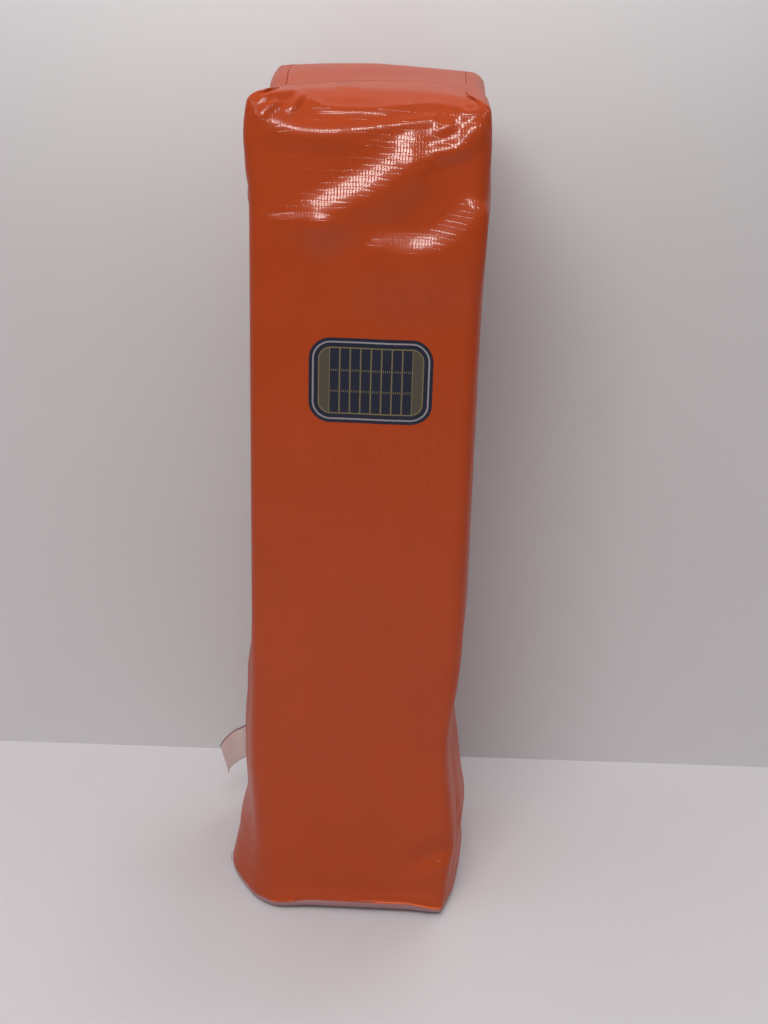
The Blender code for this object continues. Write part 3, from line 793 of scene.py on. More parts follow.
RIGHT_FOLDS = [
    (1.0, 9, 18, 0.4, 0.6, [(-44, 424), (-34, 414), (-18, 398), (-4, 380)]),
    (1.8, 8, 14, 0.3, 0.3, [(-16, 446), (-8, 436), (6, 430), (24, 430), (44, 438)]),
    (0.9, 14, 10, 0.4, 0.4, [(-46, 54), (-30, 48), (-6, 46), (18, 52), (40, 66)]),
    (0.6, 16, 16, 0.4, 0.4, [(-30, 152), (-10, 138), (14, 134), (40, 144)]),
    (0.7, 3, 2.5, 0.3, 0.3, [(-46, 10), (-20, 8), (10, 9), (44, 8)]),
]
BACK_FOLDS = [
    (2.4, 8, 18, 0.25, 0.25, [(-52, 436), (-36, 426), (-16, 421), (8, 423), (34, 432), (50, 441)]),
    (2.6, 12, 30, 0.3, 0.5, [(-48, 404), (-26, 390), (2, 378), (26, 374)]),
    (1.6, 10, 16, 0.3, 0.6, [(50, 414), (34, 400), (20, 380), (12, 356)]),
    (1.8, 16, 12, 0.35, 0.35, [(-46, 62), (-22, 52), (8, 50), (36, 58)]),
    (0.7, 3, 2.5, 0.3, 0.3, [(-50, 9), (-18, 7.5), (16, 9), (48, 8)]),
]
LEFT_FOLDS = [
    (2.0, 8, 16, 0.3, 0.35, [(-44, 440), (-26, 430), (-6, 424), (10, 426), (16, 438)]),
    (2.0, 10, 20, 0.3, 0.6, [(52, 424), (36, 410), (18, 390), (6, 366)]),
    (1.6, 14, 18, 0.35, 0.4, [(-44, 150), (-18, 138), (12, 134), (38, 144)]),
    (1.4, 12, 9, 0.3, 0.4, [(-40, 36), (-12, 28), (18, 30), (46, 42)]),
]
print(len(FRONT_FOLDS + RIGHT_FOLDS + BACK_FOLDS + LEFT_FOLDS), "folds on the four walls")

# %% [markdown]
# ## The vinyl
#
# The cover is a scrim of polyester yarns between two films of orange vinyl. The film is glossy, and
# the yarns under it print through as upright dashes in rows. They hardly show in flat light, but
# wherever a lamp glances off the cloth each dash catches it by itself. So the colour is nearly
# even, and the dashes are in the bump: yarns that stand less than two tenths of a millimetre high,
# across and up the flat cloth, a little unevenly. The printed cloth also carries a badge, and painted
# light: a pale hem band as a painted reflection of the table, a painted highlight on the crease
# above it, and a painted shade in the dip at the front seam.

# %% Vinyl
VINYL_COLOUR, VINYL_DEEP, PATCH_SIZE = (0.70, 0.266, 0.09), (0.685, 0.256, 0.084), 38 * MM
FILM = {"roughness": 0.38, "IOR": 1.5, "Specular_IOR_Level": 0.07}
FILM_COAT = {"Coat_Weight": 0.17, "Coat_Roughness": 0.11, "Coat_IOR": 2.0}
YARN_PITCH, ROW_PITCH, YARN_VALLEY, YARN_EDGE = mm(1.46, 2.95, 0.30, 0.12)
YARN_RELIEF, UNDER_SHARE, ROW_SHARE, ROW_UNEVEN = 0.17 * MM, 0.12, 0.32, 0.8
DRIFT_SIZE, DRIFT, GRAIN_SIZE, GRAIN_RELIEF = mm(9, 1.1, 0.7, 0.01)
# The hem band is painted pale mauve, a painted reflection of the table in the cloth that rolls under at the
# foot.
HEM_TOP, HEM_SOFT, HEM_PAINTED_REFLECTION = 2.9 * MM, mm(0.6, -0.2), (0.66, 0.50, 0.51)
# The light line above the hem is a painted highlight on the crease, broken into patches.
CREASE_ABOVE_HEM, CREASE_HIGHLIGHT_WIDTH, CREASE_PAINTED_HIGHLIGHT = 0.9 * MM, mm(0.55, 0.15), (0.95, 0.46, 0.24)
RIGHT_CREASE, RIGHT_CREASE_END = mm(4, 9), mm(54, 48)
LEFT_CREASE, LEFT_CREASE_REACH = -50 * MM, mm(7, 5)
SEAM_DIP, SEAM_SPAN, SEAM_SHADE = mm(1.8, 0.6), mm(40, -20), (0.38, 0.13, 0.06)

BADGE_HALF_WIDTH, BADGE_HALF_HEIGHT, BADGE_ROUNDING, BADGE_SOFT = mm(31, 22, 11, 0.12)
BADGE_BORDER, KEYLINE, FIELD_INSET = mm(1.7, 0.8, 5.0)
YARD_PITCH, YARD_LINE, TICK = 5.2 * MM, 0.34 * MM, mm(0.26, 0.1)
HASH_HEIGHT, HASH_BAND, END_ZONE, END_ZONE_TONE = 5.4 * MM, 0.7 * MM, 20.9 * MM, 0.4
BADGE_NAVY, BADGE_KEY, BADGE_LINE = (0.14, 0.155, 0.215), (0.60, 0.575, 0.60), (0.47, 0.43, 0.31)


def badge_print(made, parts, middle, colour):
    """A plain printed badge on the cloth: its ground, and the pale lines of a playing field on it.

    The distance to a rounded rectangle is the length of what lies beyond its inner corners, less
    the rounding. Rings of that distance are the ground, the keyline and the frame of the field.
    """

    def line(value, centre, half):
        """One on a line of that half width about a centre, with soft edges."""
        return made.ramp(made.apart(value, centre), half + BADGE_SOFT, half - BADGE_SOFT)

    away = [made.math("SUBTRACT", part, value) for part, value in zip(parts, middle)]
    side, up = (made.math("ABSOLUTE", part) for part in away)
    beyond = [
        made.math("SUBTRACT", side, BADGE_HALF_WIDTH - BADGE_ROUNDING),
        made.math("SUBTRACT", up, BADGE_HALF_HEIGHT - BADGE_ROUNDING),
    ]
    outside = [made.math("POWER", made.math("MAXIMUM", part, 0.0), 2.0) for part in beyond]
    round_part = made.math("SQRT", made.math("ADD", *outside))
    flat_part = made.math("MINIMUM", made.math("MAXIMUM", *beyond), 0.0)
    distance = made.math("SUBTRACT", made.math("ADD", round_part, flat_part), BADGE_ROUNDING)
    yard_line = line(made.math("PINGPONG", away[0], YARD_PITCH / 2), 0.0, YARD_LINE)
    tick = made.ramp(made.math("PINGPONG", away[0], YARD_PITCH / 10), *TICK)
    hashes = made.times(tick, line(up, HASH_HEIGHT, HASH_BAND - BADGE_SOFT))
    play = line(side, 0.0, END_ZONE)
    inner = made.times(play, made.math("MAXIMUM", yard_line, hashes))
    ends = made.times(made.math("SUBTRACT", 1.0, play), END_ZONE_TONE)
    field = made.ramp(distance, -FIELD_INSET + BADGE_SOFT, -FIELD_INSET - BADGE_SOFT)
    inner = made.times(field, made.math("MAXIMUM", inner, ends))
    lines = made.math("MAXIMUM", line(distance, -FIELD_INSET, YARD_LINE), inner)
    colour = made.mix(made.ramp(distance, BADGE_SOFT, -BADGE_SOFT), colour, BADGE_NAVY)
    colour = made.mix(line(distance, -BADGE_BORDER - KEYLINE / 2, KEYLINE / 2), colour, BADGE_KEY)
    return made.mix(lines, colour, BADGE_LINE)


def painted_edge_light(made, parts, patches, middle, colour):
    """Painted light on the cloth: a pale hem band as a painted reflection of the table, a broken painted
    highlight on the crease above it, and a painted shade in the dip at the front seam.
    """
    side = made.math("SUBTRACT", parts[0], middle[0])
    hem_high, hem_low = (HEM_TOP + soft for soft in HEM_SOFT)
    # Painted reflection: the hem band is pale, as the table seen in the cloth that turns under.
    colour = made.mix(made.ramp(parts[1], hem_high, hem_low), colour, HEM_PAINTED_REFLECTION)
    # Painted highlight: a broken light line along the crease above the hem.
    right_part = made.times(made.ramp(side, *RIGHT_CREASE), made.ramp(side, *RIGHT_CREASE_END))
    left_part = made.ramp(made.apart(side, LEFT_CREASE), *LEFT_CREASE_REACH)
    crease_highlight = made.times(made.math("MAXIMUM", left_part, right_part), made.ramp(patches, 0.36, 0.5))
    crease_highlight = made.times(crease_highlight, made.ramp(made.apart(parts[1], HEM_TOP + CREASE_ABOVE_HEM), *CREASE_HIGHLIGHT_WIDTH))
    colour = made.mix(crease_highlight, colour, CREASE_PAINTED_HIGHLIGHT)
    from_seam = made.node("Attribute", attribute_name="from_seam").outputs["Fac"]
    dip = made.times(made.ramp(from_seam, *SEAM_DIP), made.ramp(side, *SEAM_SPAN))
    return made.mix(dip, colour, SEAM_SHADE)


def vinyl_finish(name, badge_middle=None):
    """Glossy orange film over a woven scrim, drawn on the flat cloth, plain or printed with a badge."""
    made = Finish(name, VINYL_COLOUR, **FILM, **FILM_COAT)
    cloth = made.place("cloth")
    parts = made.parts(cloth)
    patches = made.noise(cloth, PATCH_SIZE, 3, 0.6)
    colour = made.mix(made.ramp(patches, 0.3, 0.7), VINYL_DEEP, VINYL_COLOUR)
    if badge_middle:
        colour = badge_print(made, parts, badge_middle, colour)
        colour = painted_edge_light(made, parts, patches, badge_middle, colour)
    made.join(colour, "Base Color")
    drift = made.times(made.math("SUBTRACT", made.noise(cloth, DRIFT_SIZE, 1), 0.5), DRIFT)
    across, upward = (made.math("ADD", part, drift) for part in parts[:2])
    yarns = made.ramp(made.math("PINGPONG", across, YARN_PITCH / 2), -YARN_EDGE, YARN_VALLEY)
    turn = made.times(upward, 2 * math.pi / ROW_PITCH)
    uneven = made.times(made.math("COSINE", made.times(turn, 0.5)), ROW_UNEVEN)
    rows = made.ramp(made.math("COSINE", made.math("ADD", turn, uneven)), -1.0, -0.4)
    weave = made.times(yarns, made.math("MULTIPLY_ADD", rows, ROW_SHARE, 1 - ROW_SHARE))
    grain = made.bump(made.noise(cloth, GRAIN_SIZE, 2), GRAIN_RELIEF)
    made.join(made.bump(weave, UNDER_SHARE * YARN_RELIEF, under=grain), "Normal")
    made.join(made.bump(weave, YARN_RELIEF, under=grain), "Coat Normal")
    return made.material


VINYL = vinyl_finish("orange_vinyl")
print("vinyl drawn with yarns every", YARN_PITCH / MM, "mm")

# %% [markdown]
# ## Slack by simulation
#
# Sewn cloth is always a little larger than what it wraps, so it buckles lightly wherever nothing
# pulls it. Such buckles are hard to place by hand, and Blender's cloth finds them: a coarse copy of
# the wall is held at its top and foot, given two parts in a hundred more cloth and a little air
# behind it, and left to settle for twenty frames. How far each point moved is capped, because the
# foam is close behind, and spread over the fine grid by the same smooth cubics as the folds. The
# front takes only a small share of it, as it is drawn tight.

# %% Slack by simulation
SLACK_ROW_STEP, SLACK_COLUMN_STEP = 2, 2
SLACK_FRAMES, SLACK_SHARE, SLACK_PRESSURE, SLACK_QUALITY, SLACK_MASS = 20, 0.02, 4.0, 6, 0.05
SLACK_OUT, SLACK_IN, SLACK_FOOT = mm(0.6, 0.6, 8)
SLACK_FRONT_SHARE, SLACK_END_FADE = 0.12, 30 * MM


def cloth_moves(grid):
    """How far each point of a closed tube of cloth moves when it has slack and a little air behind it."""
    rows, around = grid.shape[:2]
    tube = grid_piece("slack_trial", grid, np.zeros((rows, around, 2)), closed=True)
    index = np.arange(rows * around).reshape(rows, around)
    held = tube.vertex_groups.new(name="held")
    held.add(index[[0, -1]].ravel().tolist(), 1.0, "REPLACE")
    settings = tube.modifiers.new("Cloth", "CLOTH").settings
    settings.vertex_group_mass = "held"
    settings.quality = SLACK_QUALITY
    settings.mass = SLACK_MASS
    settings.use_pressure = True
    settings.uniform_pressure_force = SLACK_PRESSURE
    settings.shrink_min = -SLACK_SHARE
    settings.effector_weights.gravity = 0
    scene = bpy.context.scene
    for moment in range(1, SLACK_FRAMES + 1):
        scene.frame_set(moment)
    settled = tube.evaluated_get(bpy.context.evaluated_depsgraph_get()).data
    points = np.empty(rows * around * 3, dtype=np.float32)
    settled.vertices.foreach_get("co", points)
    scene.frame_set(1)
    bpy.data.objects.remove(tube)
    return points.reshape(rows, around, 3) - grid


def facing(direction):
    """Share of each column that belongs to the wall facing that way."""
    return step(COLUMN_OUT @ np.array(direction), 0.25, 0.9)[None, :]


def slack(grid, last_wall):
    """Move of each point of the fine wall along its normal, in metres, from the coarse cloth's."""
    moves = np.zeros(grid.shape[:2])
    rows = np.arange(FIRST_WALL, last_wall + 1, SLACK_ROW_STEP)
    around = np.arange(0, grid.shape[1] - 1, SLACK_COLUMN_STEP)
    coarse = grid[rows][:, around]
    moved = (cloth_moves(coarse) * outward(coarse, closed=True)).sum(-1)
    moved = np.clip(moved - moved.mean(axis=1, keepdims=True), -SLACK_IN, SLACK_OUT)
    wrapped = np.concatenate([moved[:, -1:], moved, moved[:, :2]], axis=1)
    fine_rows = np.arange(FIRST_WALL, rows[-1] + 1)
    fine = resampled(wrapped, (fine_rows - FIRST_WALL) / SLACK_ROW_STEP)
    fine = resampled(fine.T, 1 + np.arange(grid.shape[1]) / SLACK_COLUMN_STEP).T
    heights = grid[fine_rows][..., 2]
    foot = step(heights, SLACK_FOOT, SLACK_FOOT + SLACK_END_FADE)
    ends = foot * (1 - step(heights, TOP_OF_WALL - SLACK_END_FADE, TOP_OF_WALL))
    moves[fine_rows] = fine * ends * (1 - facing((0, -1)) * (1 - SLACK_FRONT_SHARE))
    return moves


print("slack is", "simulated")

# %% [markdown]
# ## The sleeve
#
# Now the parts come together: the straight rows are settled, the folds and the slack are added
# along the surface's own normals, and the two end columns are turned in at the closing seam. The
# badge is centred on the front, and each column that ends at the front seam knows how far up the
# cloth that seam is, for the shade beside it.

# %% Sleeve
# Each wall's direction outwards, its direction to the right as seen from outside, and its folds
WALLS = (
    ((0, -1), (1, 0), FRONT_FOLDS),
    ((1, 0), (0, 1), RIGHT_FOLDS),
    ((0, 1), (-1, 0), BACK_FOLDS),
    ((-1, 0), (0, -1), LEFT_FOLDS),
)
FRONT_COLUMN, BADGE_HEIGHT, BADGE_ASIDE = 90, 317 * MM, 3.5 * MM
SEAM_ROW, SEAM_NEAR, FAR_FROM_SEAM = -(FOLD_STEPS + 2), 1.5 * MM, 1.0


def up_cloth(grid):
    """How far up the flat cloth each point lies, from the table."""
    up = lengths_along(grid, axis=0)
    return up - up[FIRST_WALL] + BASE_ROLL


def sleeve_surface():
    """The settled sleeve with its folds, its slack and its turned-in ends."""
    grid = settle(SLEEVE)
    up = up_cloth(grid)
    height = slack(grid, FIRST_WALL + LOW_ROWS + MIDDLE_ROWS + HIGH_ROWS - 1)
    for direction, across, folds in WALLS:
        flat = np.stack([grid[..., :2] @ np.array(across, dtype=float), up], axis=-1)
        for sizes in folds:
            height = height + fold(flat, *sizes) * facing(direction)
    grid = grid + height[..., None] * outward(grid)
    row = np.arange(len(grid))
    return with_closing_seam(grid, (row < FOLD_STEPS + 2) | (row > len(grid) - FOLD_STEPS - 4))


def on_cover(piece, node):
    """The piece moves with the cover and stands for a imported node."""
    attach(piece, "cover")
    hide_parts(node)


surface = sleeve_surface()
up = up_cloth(surface)
around = lengths_along(surface, axis=1)[len(surface) // 2][None, :] * np.ones((len(surface), 1))
badge_row = int(np.argmin(np.abs(surface[:, FRONT_COLUMN, 2] - BADGE_HEIGHT)))
row_x, row_y = surface[badge_row, :, 0], surface[badge_row, :, 1]
front_middle = int(np.argmin(np.abs(row_x - BADGE_ASIDE) + (row_y > 0)))
badge_middle = (float(around[badge_row, front_middle]), float(up[badge_row, front_middle]))
printed = vinyl_finish("printed_vinyl", badge_middle)
sleeve = grid_piece("sleeve", surface, np.stack([around, up], axis=-1), printed)
at_front_seam = surface[SEAM_ROW, :, 1] < SEAM_LINE + SEAM_NEAR
from_seam = np.where(at_front_seam[None, :], up[SEAM_ROW][None, :] - up, FAR_FROM_SEAM)
attribute = sleeve.data.attributes.new("from_seam", "FLOAT", "POINT")
attribute.data.foreach_set("value", from_seam.astype(np.float32).ravel())
thicken(sleeve, SHEET)
on_cover(sleeve, "cover_sleeve")
print("sleeve", surface.shape[:2], "with", int(at_front_seam.sum()), "columns that end at the front seam")

# %% [markdown]
# ## Top and base panels
#
# Behind the front roll a separate square closes the top, and another closes the foot. Each is a
# flat panel whose edge turns into the cover, beside the sleeve's own allowance, so that the two lie
# face to face in the seam. A panel is made of rings: the allowance, the turn at the edge and then
# ever smaller outlines to a point in its middle.

# %% Top and base panels
PANEL_RINGS, SMALLEST_RING = 30, 1e-4
WEAVE_START = 0.5


def panel_rings(edge):
    """Rings from an outline to its own middle, whose distance shrinks evenly to nearly nought."""
    middle = edge.mean(axis=1, keepdims=True)
    share = np.linspace(1, 0, PANEL_RINGS + 1)[1:, None, None]
    return middle + (edge - middle) * np.maximum(share, SMALLEST_RING)


def ringed_piece(name, straight, finish, node, slot, both_ends=False, sheet=0.0, ripple=None):
    """Settles closed rings, joins the last one, or both ends, in the middle, and makes the mesh.

    The rings run so that the surface faces outwards. A sheet is given its thickness inwards. The
    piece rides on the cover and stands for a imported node.
    """
    grid = settle(straight)
    if ripple is not None:
        grid = grid + ripple[..., None] * outward(grid)
    grid = grid[:, :-1]
    rows, around = grid.shape[:2]
    here = np.arange(around)
    there = (here + 1) % around
    last, pole = (rows - 1) * around, np.full(around, rows * around)
    points = [grid.reshape(-1, 3), grid[-1].mean(axis=0, keepdims=True)]
    flat = [straight[:, :-1].reshape(-1, 3)[:, :2], [[0, 0]]]
    faces = grid_faces(rows, around, closed=True)
    faces += np.stack([last + here, last + there, pole], axis=-1).tolist()
    if both_ends:
        points.append(grid[0].mean(axis=0, keepdims=True))
        flat.append([[0, 0]])
        faces += np.stack([there, here, pole + 1], axis=-1).tolist()
    piece = mesh_piece(name, np.concatenate(points), faces, np.concatenate(flat) + WEAVE_START, finish)
    if sheet:
        thicken(piece, sheet)
    on_cover(piece, node)
    return piece


def straight_panel(place, gap, level, inside):
    """Allowance, fold and rings of a panel at a level. Inside is 1 where its inner face looks up, else -1."""
    inward, drop = (share[::-1] for share in quarter(FOLD_STEPS, FOLD_RADIUS))
    allowance = opening(place, gap, level + inside * ALLOWANCE)
    edge = opening(place, gap + inward, level + inside * drop)
    return np.concatenate([allowance, edge, panel_rings(edge[-1:])])[:, ::-inside]


top_rings = straight_panel(TOP_PLACE, SEAM_GAP, EDGE_HEIGHT, -1)
base_rings = straight_panel(BASE_PLACE, BASE_SEAM_GAP, 0.0, 1)
top_panel = ringed_piece("top_panel", top_rings, VINYL, "cover_top_panel", "orange_vinyl", sheet=SHEET)
base_panel = ringed_piece("base_panel", base_rings, VINYL, "cover_base_panel", "orange_vinyl", sheet=SHEET)
print("panels made")

# %% [markdown]
# ## The foam block
#
# The body is one block of soft foam with open pores, cut a little smaller than the cover. It takes
# the cover's own shape, drawn in all round, so it is made from the same rows: the foot, the wall
# and the roll over the top. A groove in its top leaves room for the seam's allowances, its left
# rear corner is rounder, because the closing seam's allowances stand there, and its front top
# corners are crushed down and inwards under the cover's pinched ones.

# %% Foam block
FOAM_GAP, FOAM_FOOT, FOAM_ROLL, FOAM_ROWS, FOAM_STRIP_STEPS = 1.0 * MM, 45.6 * MM, 4 * MM, 70, 16
SEAM_CORNER_EASE = 8 * MM
GROOVE_OUT, GROOVE_IN, GROOVE_BELOW, GROOVE_ROUND = mm(2.4, 3.8, 1.4, 0.5)
PORE, CELL_RELIEF, FOAM_PATCH = mm(1.1, 0.35, 22)
CRUSH_DROP, CRUSH_DRAW = mm(9, 5)
CRUSH_UP, CRUSH_ASIDE, CRUSH_FORWARD = mm(415, 440), mm(28, 44), mm(-22, 6)
WAIST_ROOM, WAIST_ASIDE, WAIST_UP = 0.4 * MM, mm(40, 54), mm(200, 260)


def foam_finish():
    """Open-pored grey foam: small round cells, each a pit painted darker than its pale rim as a painted shade
    in the pore, and slow patches of tone.
    """
    made = Finish("open_foam", (0.50, 0.50, 0.52), 0.95)
    place = made.place()
    cells = made.node("TexVoronoi", {"Vector": place, "Scale": 1 / PORE}).outputs["Distance"]
    pits = made.ramp(cells, 0.15, 0.55)
    # Painted shade: the pits are darker than the rims, as the pores are shaded inside.
    tone = made.mix(pits, (0.36, 0.36, 0.38), (0.56, 0.56, 0.58))
    patches = made.times(made.ramp(made.noise(place, FOAM_PATCH, 3), 0.35, 0.65), 0.25)
    made.join(made.mix(patches, tone, (0.46, 0.455, 0.45)), "Base Color")
    made.join(made.bump(pits, CELL_RELIEF), "Normal")
    return made.material


def straight_foam():
    """Rings of the foam from the middle of its foot, up the wall and over the top to its middle."""
    gap = SHEET + FOAM_GAP
    foot_in, foot_up = quarter(ROLL_STEPS, FOAM_ROLL)
    foot = wall_rows(gap + foot_in, FOAM_FOOT + foot_up, SEAM_CORNER_EASE)
    heights = np.linspace(FOAM_FOOT + FOAM_ROLL, TOP_OF_WALL, FOAM_ROWS + 1)[1:]
    wall = wall_rows(gap, heights, SEAM_CORNER_EASE)
    roll = top_roll(gap, SEAM_CORNER_EASE)
    top, bottom = EDGE_HEIGHT - gap, EDGE_HEIGHT - ALLOWANCE - GROOVE_BELOW
    near, far, bend = -GROOVE_OUT, GROOVE_IN, GROOVE_ROUND
    groove = [(near - bend, top), (near, top - bend), (near, bottom + bend), (near + bend, bottom)]
    groove += [(far - bend, bottom), (far, bottom + bend), (far, top - bend), (far + bend, top)]
    groove = opening(TOP_PLACE, *np.array(groove).T)
    strip = between(roll[-1:], groove[:1], FOAM_STRIP_STEPS)
    parts = [panel_rings(foot[:1])[::-1], foot, wall, roll, strip, groove, panel_rings(groove[-1:])]
    return np.concatenate(parts)


foam_rings = straight_foam()
foam_x, foam_y, foam_z = np.moveaxis(foam_rings, -1, 0)
aside = np.abs(foam_x)
crushed = step(foam_z, *CRUSH_UP) * step(aside, *CRUSH_ASIDE) * step(-foam_y, *CRUSH_FORWARD)
waist_room = -WAIST_ROOM * step(aside, *WAIST_ASIDE) * (1 - step(foam_z, *WAIST_UP))
foam_rings[..., 0] -= np.sign(foam_x) * CRUSH_DRAW * crushed
foam_rings[..., 2] -= CRUSH_DROP * crushed
grey = foam_finish()
fitted = {"both_ends": True, "ripple": waist_room}
foam = ringed_piece("foam_block", foam_rings, grey, "foam_core", "grey_foam", **fitted)
print("foam block made")

# %% [markdown]
# ## The ballast pouch and its sand
#
# Inside the foot lies a flat pouch of plain woven polyester: a lower and an upper sheet, sewn
# together round a flange at half height, with about 0.7 kg of dry sand. Each sheet is a profile of
# inset and height carried round the cover's own outline. Near the flange the sheets pucker, which
# is a ripple along the edge that fades away from the seam. The sand fills the pouch with a lumpy
# skin of its own.

# %% Pouch and sand
POUCH_SHEET, FLANGE_HEIGHT, FLANGE_HALF, PROFILE_STEPS = 0.5 * MM, 24.9 * MM, 1.3 * MM, 6
PUCKER, PUCKER_PITCH, PUCKER_REACH = mm(0.45, 8.5, 9)
PUCKER_DRIFT, PUCKER_DRIFT_PITCH = 0.8, 3.7 * PUCKER_PITCH
LOWER_PROFILE = [
    (20, 1.4), (14.6, 1.7), (12.5, 4.4), (11.6, 9), (10.0, 15), (9.6, 20), (8.6, 23.0), (6.5, 24.1),
    (3.6, 24.3)
]
UPPER_PROFILE = [
    (3.6, 26.0), (6.5, 26.1), (8.7, 27.2), (9.6, 31), (9.9, 37), (11.4, 41.6), (15, 44.6), (20, 45.1)
]
SAND_PROFILE = [
    (22, 2.4), (16.6, 2.9), (14.2, 6), (13, 10), (11.4, 15.5), (11.1, 21), (11.1, 29), (11.4, 36), (13, 40.4),
    (17, 43.6), (22, 44.2)
]
SAND_LUMP, LUMP_PITCH, LUMP_DRIFT = 0.35 * MM, 19 * MM, 1.3
WEAVE_PITCH, WEAVE_RELIEF, GRAIN, SAND_RELIEF = mm(1.1, 0.12, 0.9, 0.4)
RUN_ROUND = lengths_along(SLEEVE[FIRST_WALL : FIRST_WALL + 1], axis=1)[0]


def profile_rings(profile):
    """Rings of the cover's outline along a smooth profile of (inset, height) in millimetres."""
    return wall_rows(*smooth_line(np.asarray(profile, dtype=float) * MM, PROFILE_STEPS).T)


def puckers(rings):
    """A ripple round the edge, one wave a pitch, that fades with the distance from the flange."""
    drift = PUCKER_DRIFT * np.sin(2 * math.pi * RUN_ROUND / PUCKER_DRIFT_PITCH)
    wave = np.sin(2 * math.pi * RUN_ROUND / PUCKER_PITCH + drift)
    height = rings[..., 2]
    fade = hump(height, FLANGE_HEIGHT, PUCKER_REACH) * (np.abs(height - FLANGE_HEIGHT) > FLANGE_HALF)
    return PUCKER * wave[None, :] * fade


def lumps(rings):
    """Low lumps in the sand: a wave across times a wave along, each bent by a wave the other way."""
    waves = [rings[..., axis] / LUMP_PITCH for axis in (0, 1)]
    across = np.sin(2 * math.pi * waves[0] + LUMP_DRIFT * np.sin(waves[1] * 4))
    along = np.sin(2 * math.pi * waves[1] + 1 + LUMP_DRIFT * np.sin(waves[0] * 4))
    return SAND_LUMP * across * along - SAND_LUMP


def woven_finish(name, colour):
    """A plain weave on the flat cloth: one yarn over, one under, both ways."""
    made = Finish(name, colour, 0.85)
    waves = [made.wave(part, WEAVE_PITCH) for part in made.parts(made.place("cloth"))[:2]]
    over = made.ramp(made.times(*waves), -0.8, 0.8)
    made.join(made.mix(over, shaded(colour, 0.86), colour), "Base Color")
    made.join(made.bump(over, WEAVE_RELIEF), "Normal")
    return made.material


def sand_finish():
    """Dry sand: grains of pale and dark quartz in a bump of their own size."""
    made = Finish("sand_grains", (0.74, 0.64, 0.47), 0.9)
    cells = made.node("TexVoronoi", {"Vector": made.place(), "Scale": 1 / GRAIN}).outputs
    grain = made.ramp(made.parts(cells["Color"])[0], 0.1, 0.9)
    made.join(made.mix(grain, (0.58, 0.47, 0.32), (0.86, 0.78, 0.62)), "Base Color")
    made.join(made.bump(made.ramp(cells["Distance"], 0.7, 0.0), SAND_RELIEF), "Normal")
    return made.material


woven = woven_finish("pouch_weave", (0.82, 0.80, 0.76))
lower, upper, sand = (profile_rings(profile) for profile in (LOWER_PROFILE, UPPER_PROFILE, SAND_PROFILE))
lower = np.concatenate([lower[::-1], panel_rings(lower[:1])])[:, ::-1]
upper = np.concatenate([upper, panel_rings(upper[-1:])])
sand = np.concatenate([panel_rings(sand[:1])[::-1], sand, panel_rings(sand[-1:])])
cloth = {"slot": "pouch_polyester", "sheet": POUCH_SHEET}
lower_ripple = puckers(lower)[:, ::-1]
pouch_lower = ringed_piece("pouch_lower", lower, woven, "pouch_lower_sheet", ripple=lower_ripple, **cloth)
pouch_upper = ringed_piece("pouch_upper", upper, woven, "pouch_upper_sheet", ripple=puckers(upper), **cloth)
filling = {"slot": "dry_sand", "both_ends": True, "ripple": lumps(sand)}
sand_fill = ringed_piece("sand_fill", sand, sand_finish(), "ballast_sand", **filling)
print("pouch and sand made")

# %% [markdown]
# ## Threads
#
# Four seams are sewn: the top panel, the base panel, the closing seam and the pouch's flange. A
# thread is two plies twisted together. It is a tube carried along the seam's line, and it sinks a
# little at the end of every stitch, where it goes down through the cloth. The twist is a pattern on
# the tube's own layer: stripes that climb as they go round.

# %% Threads
THREAD_RADIUS, THREAD_SIDES, PLY_PITCH, PLY_RELIEF, PLY_SHADE = 0.26 * MM, 8, 0.9 * MM, 0.08 * MM, 0.72
STITCH, STITCH_DIP, STITCH_POINTS, THREAD_GAP = 3.4 * MM, 0.22 * MM, 7, 0.25 * MM
FLANGE_INSET, FLANGE_ABOVE = mm(6.0, 1.5)
CORNER_IN, CORNER_ASIDE = mm(2.2, 1.5)
CLOSING_LOW, CLOSING_HIGH, CLOSING_POINTS = 7.5 * MM, 442 * MM, 80


def tube_mesh(path, side, radius, closed, sides=THREAD_SIDES):
    """Points, faces and layer places of a tube: a circle of that radius round each point of a path.

    The circle lies in the plane of two directions square to the path: the given side made square
    to it, and the cross product of the path's direction with that. A path that isn't closed gets a
    face at each end.
    """
    along = np.roll(path, -1, axis=0) - np.roll(path, 1, axis=0) if closed else np.gradient(path, axis=0)
    along = unit(along)
    first = unit(side - (side * along).sum(-1, keepdims=True) * along)
    second = np.cross(along, first)
    share = np.linspace(0, 1, sides + 1)[:-1]
    turn = np.linspace(0, 2 * math.pi, sides + 1)[:-1, None]
    ring = np.cos(turn) * first[:, None] + np.sin(turn) * second[:, None]
    points = (path[:, None] + np.reshape(radius, (-1, 1, 1)) * ring).reshape(-1, 3)
    count = len(path)
    faces = np.array(grid_faces(count + 1 if closed else count, sides, closed=True)) % (count * sides)
    faces = faces.tolist()
    if not closed:
        faces.append(list(range(sides))[::-1])
        faces.append(list(range((count - 1) * sides, count * sides)))
    run = lengths_along(path, axis=0) / PLY_PITCH
    flat = np.stack(np.broadcast_arrays(share[None, :], run[:, None]), axis=-1)
    return points, faces, flat.reshape(-1, 2)


def thread_finish(name, colour):
    """Two twisted plies: stripes that climb once round for each ply pitch."""
    made = Finish(name, colour, 0.6)
    parts = made.parts(made.place("cloth"))
    ply = made.ramp(made.wave(made.math("ADD", parts[0], parts[1]), 1.0), -1.0, 1.0)
    made.join(made.mix(ply, shaded(colour, PLY_SHADE), colour), "Base Color")
    made.join(made.bump(ply, PLY_RELIEF), "Normal")
    return made.material


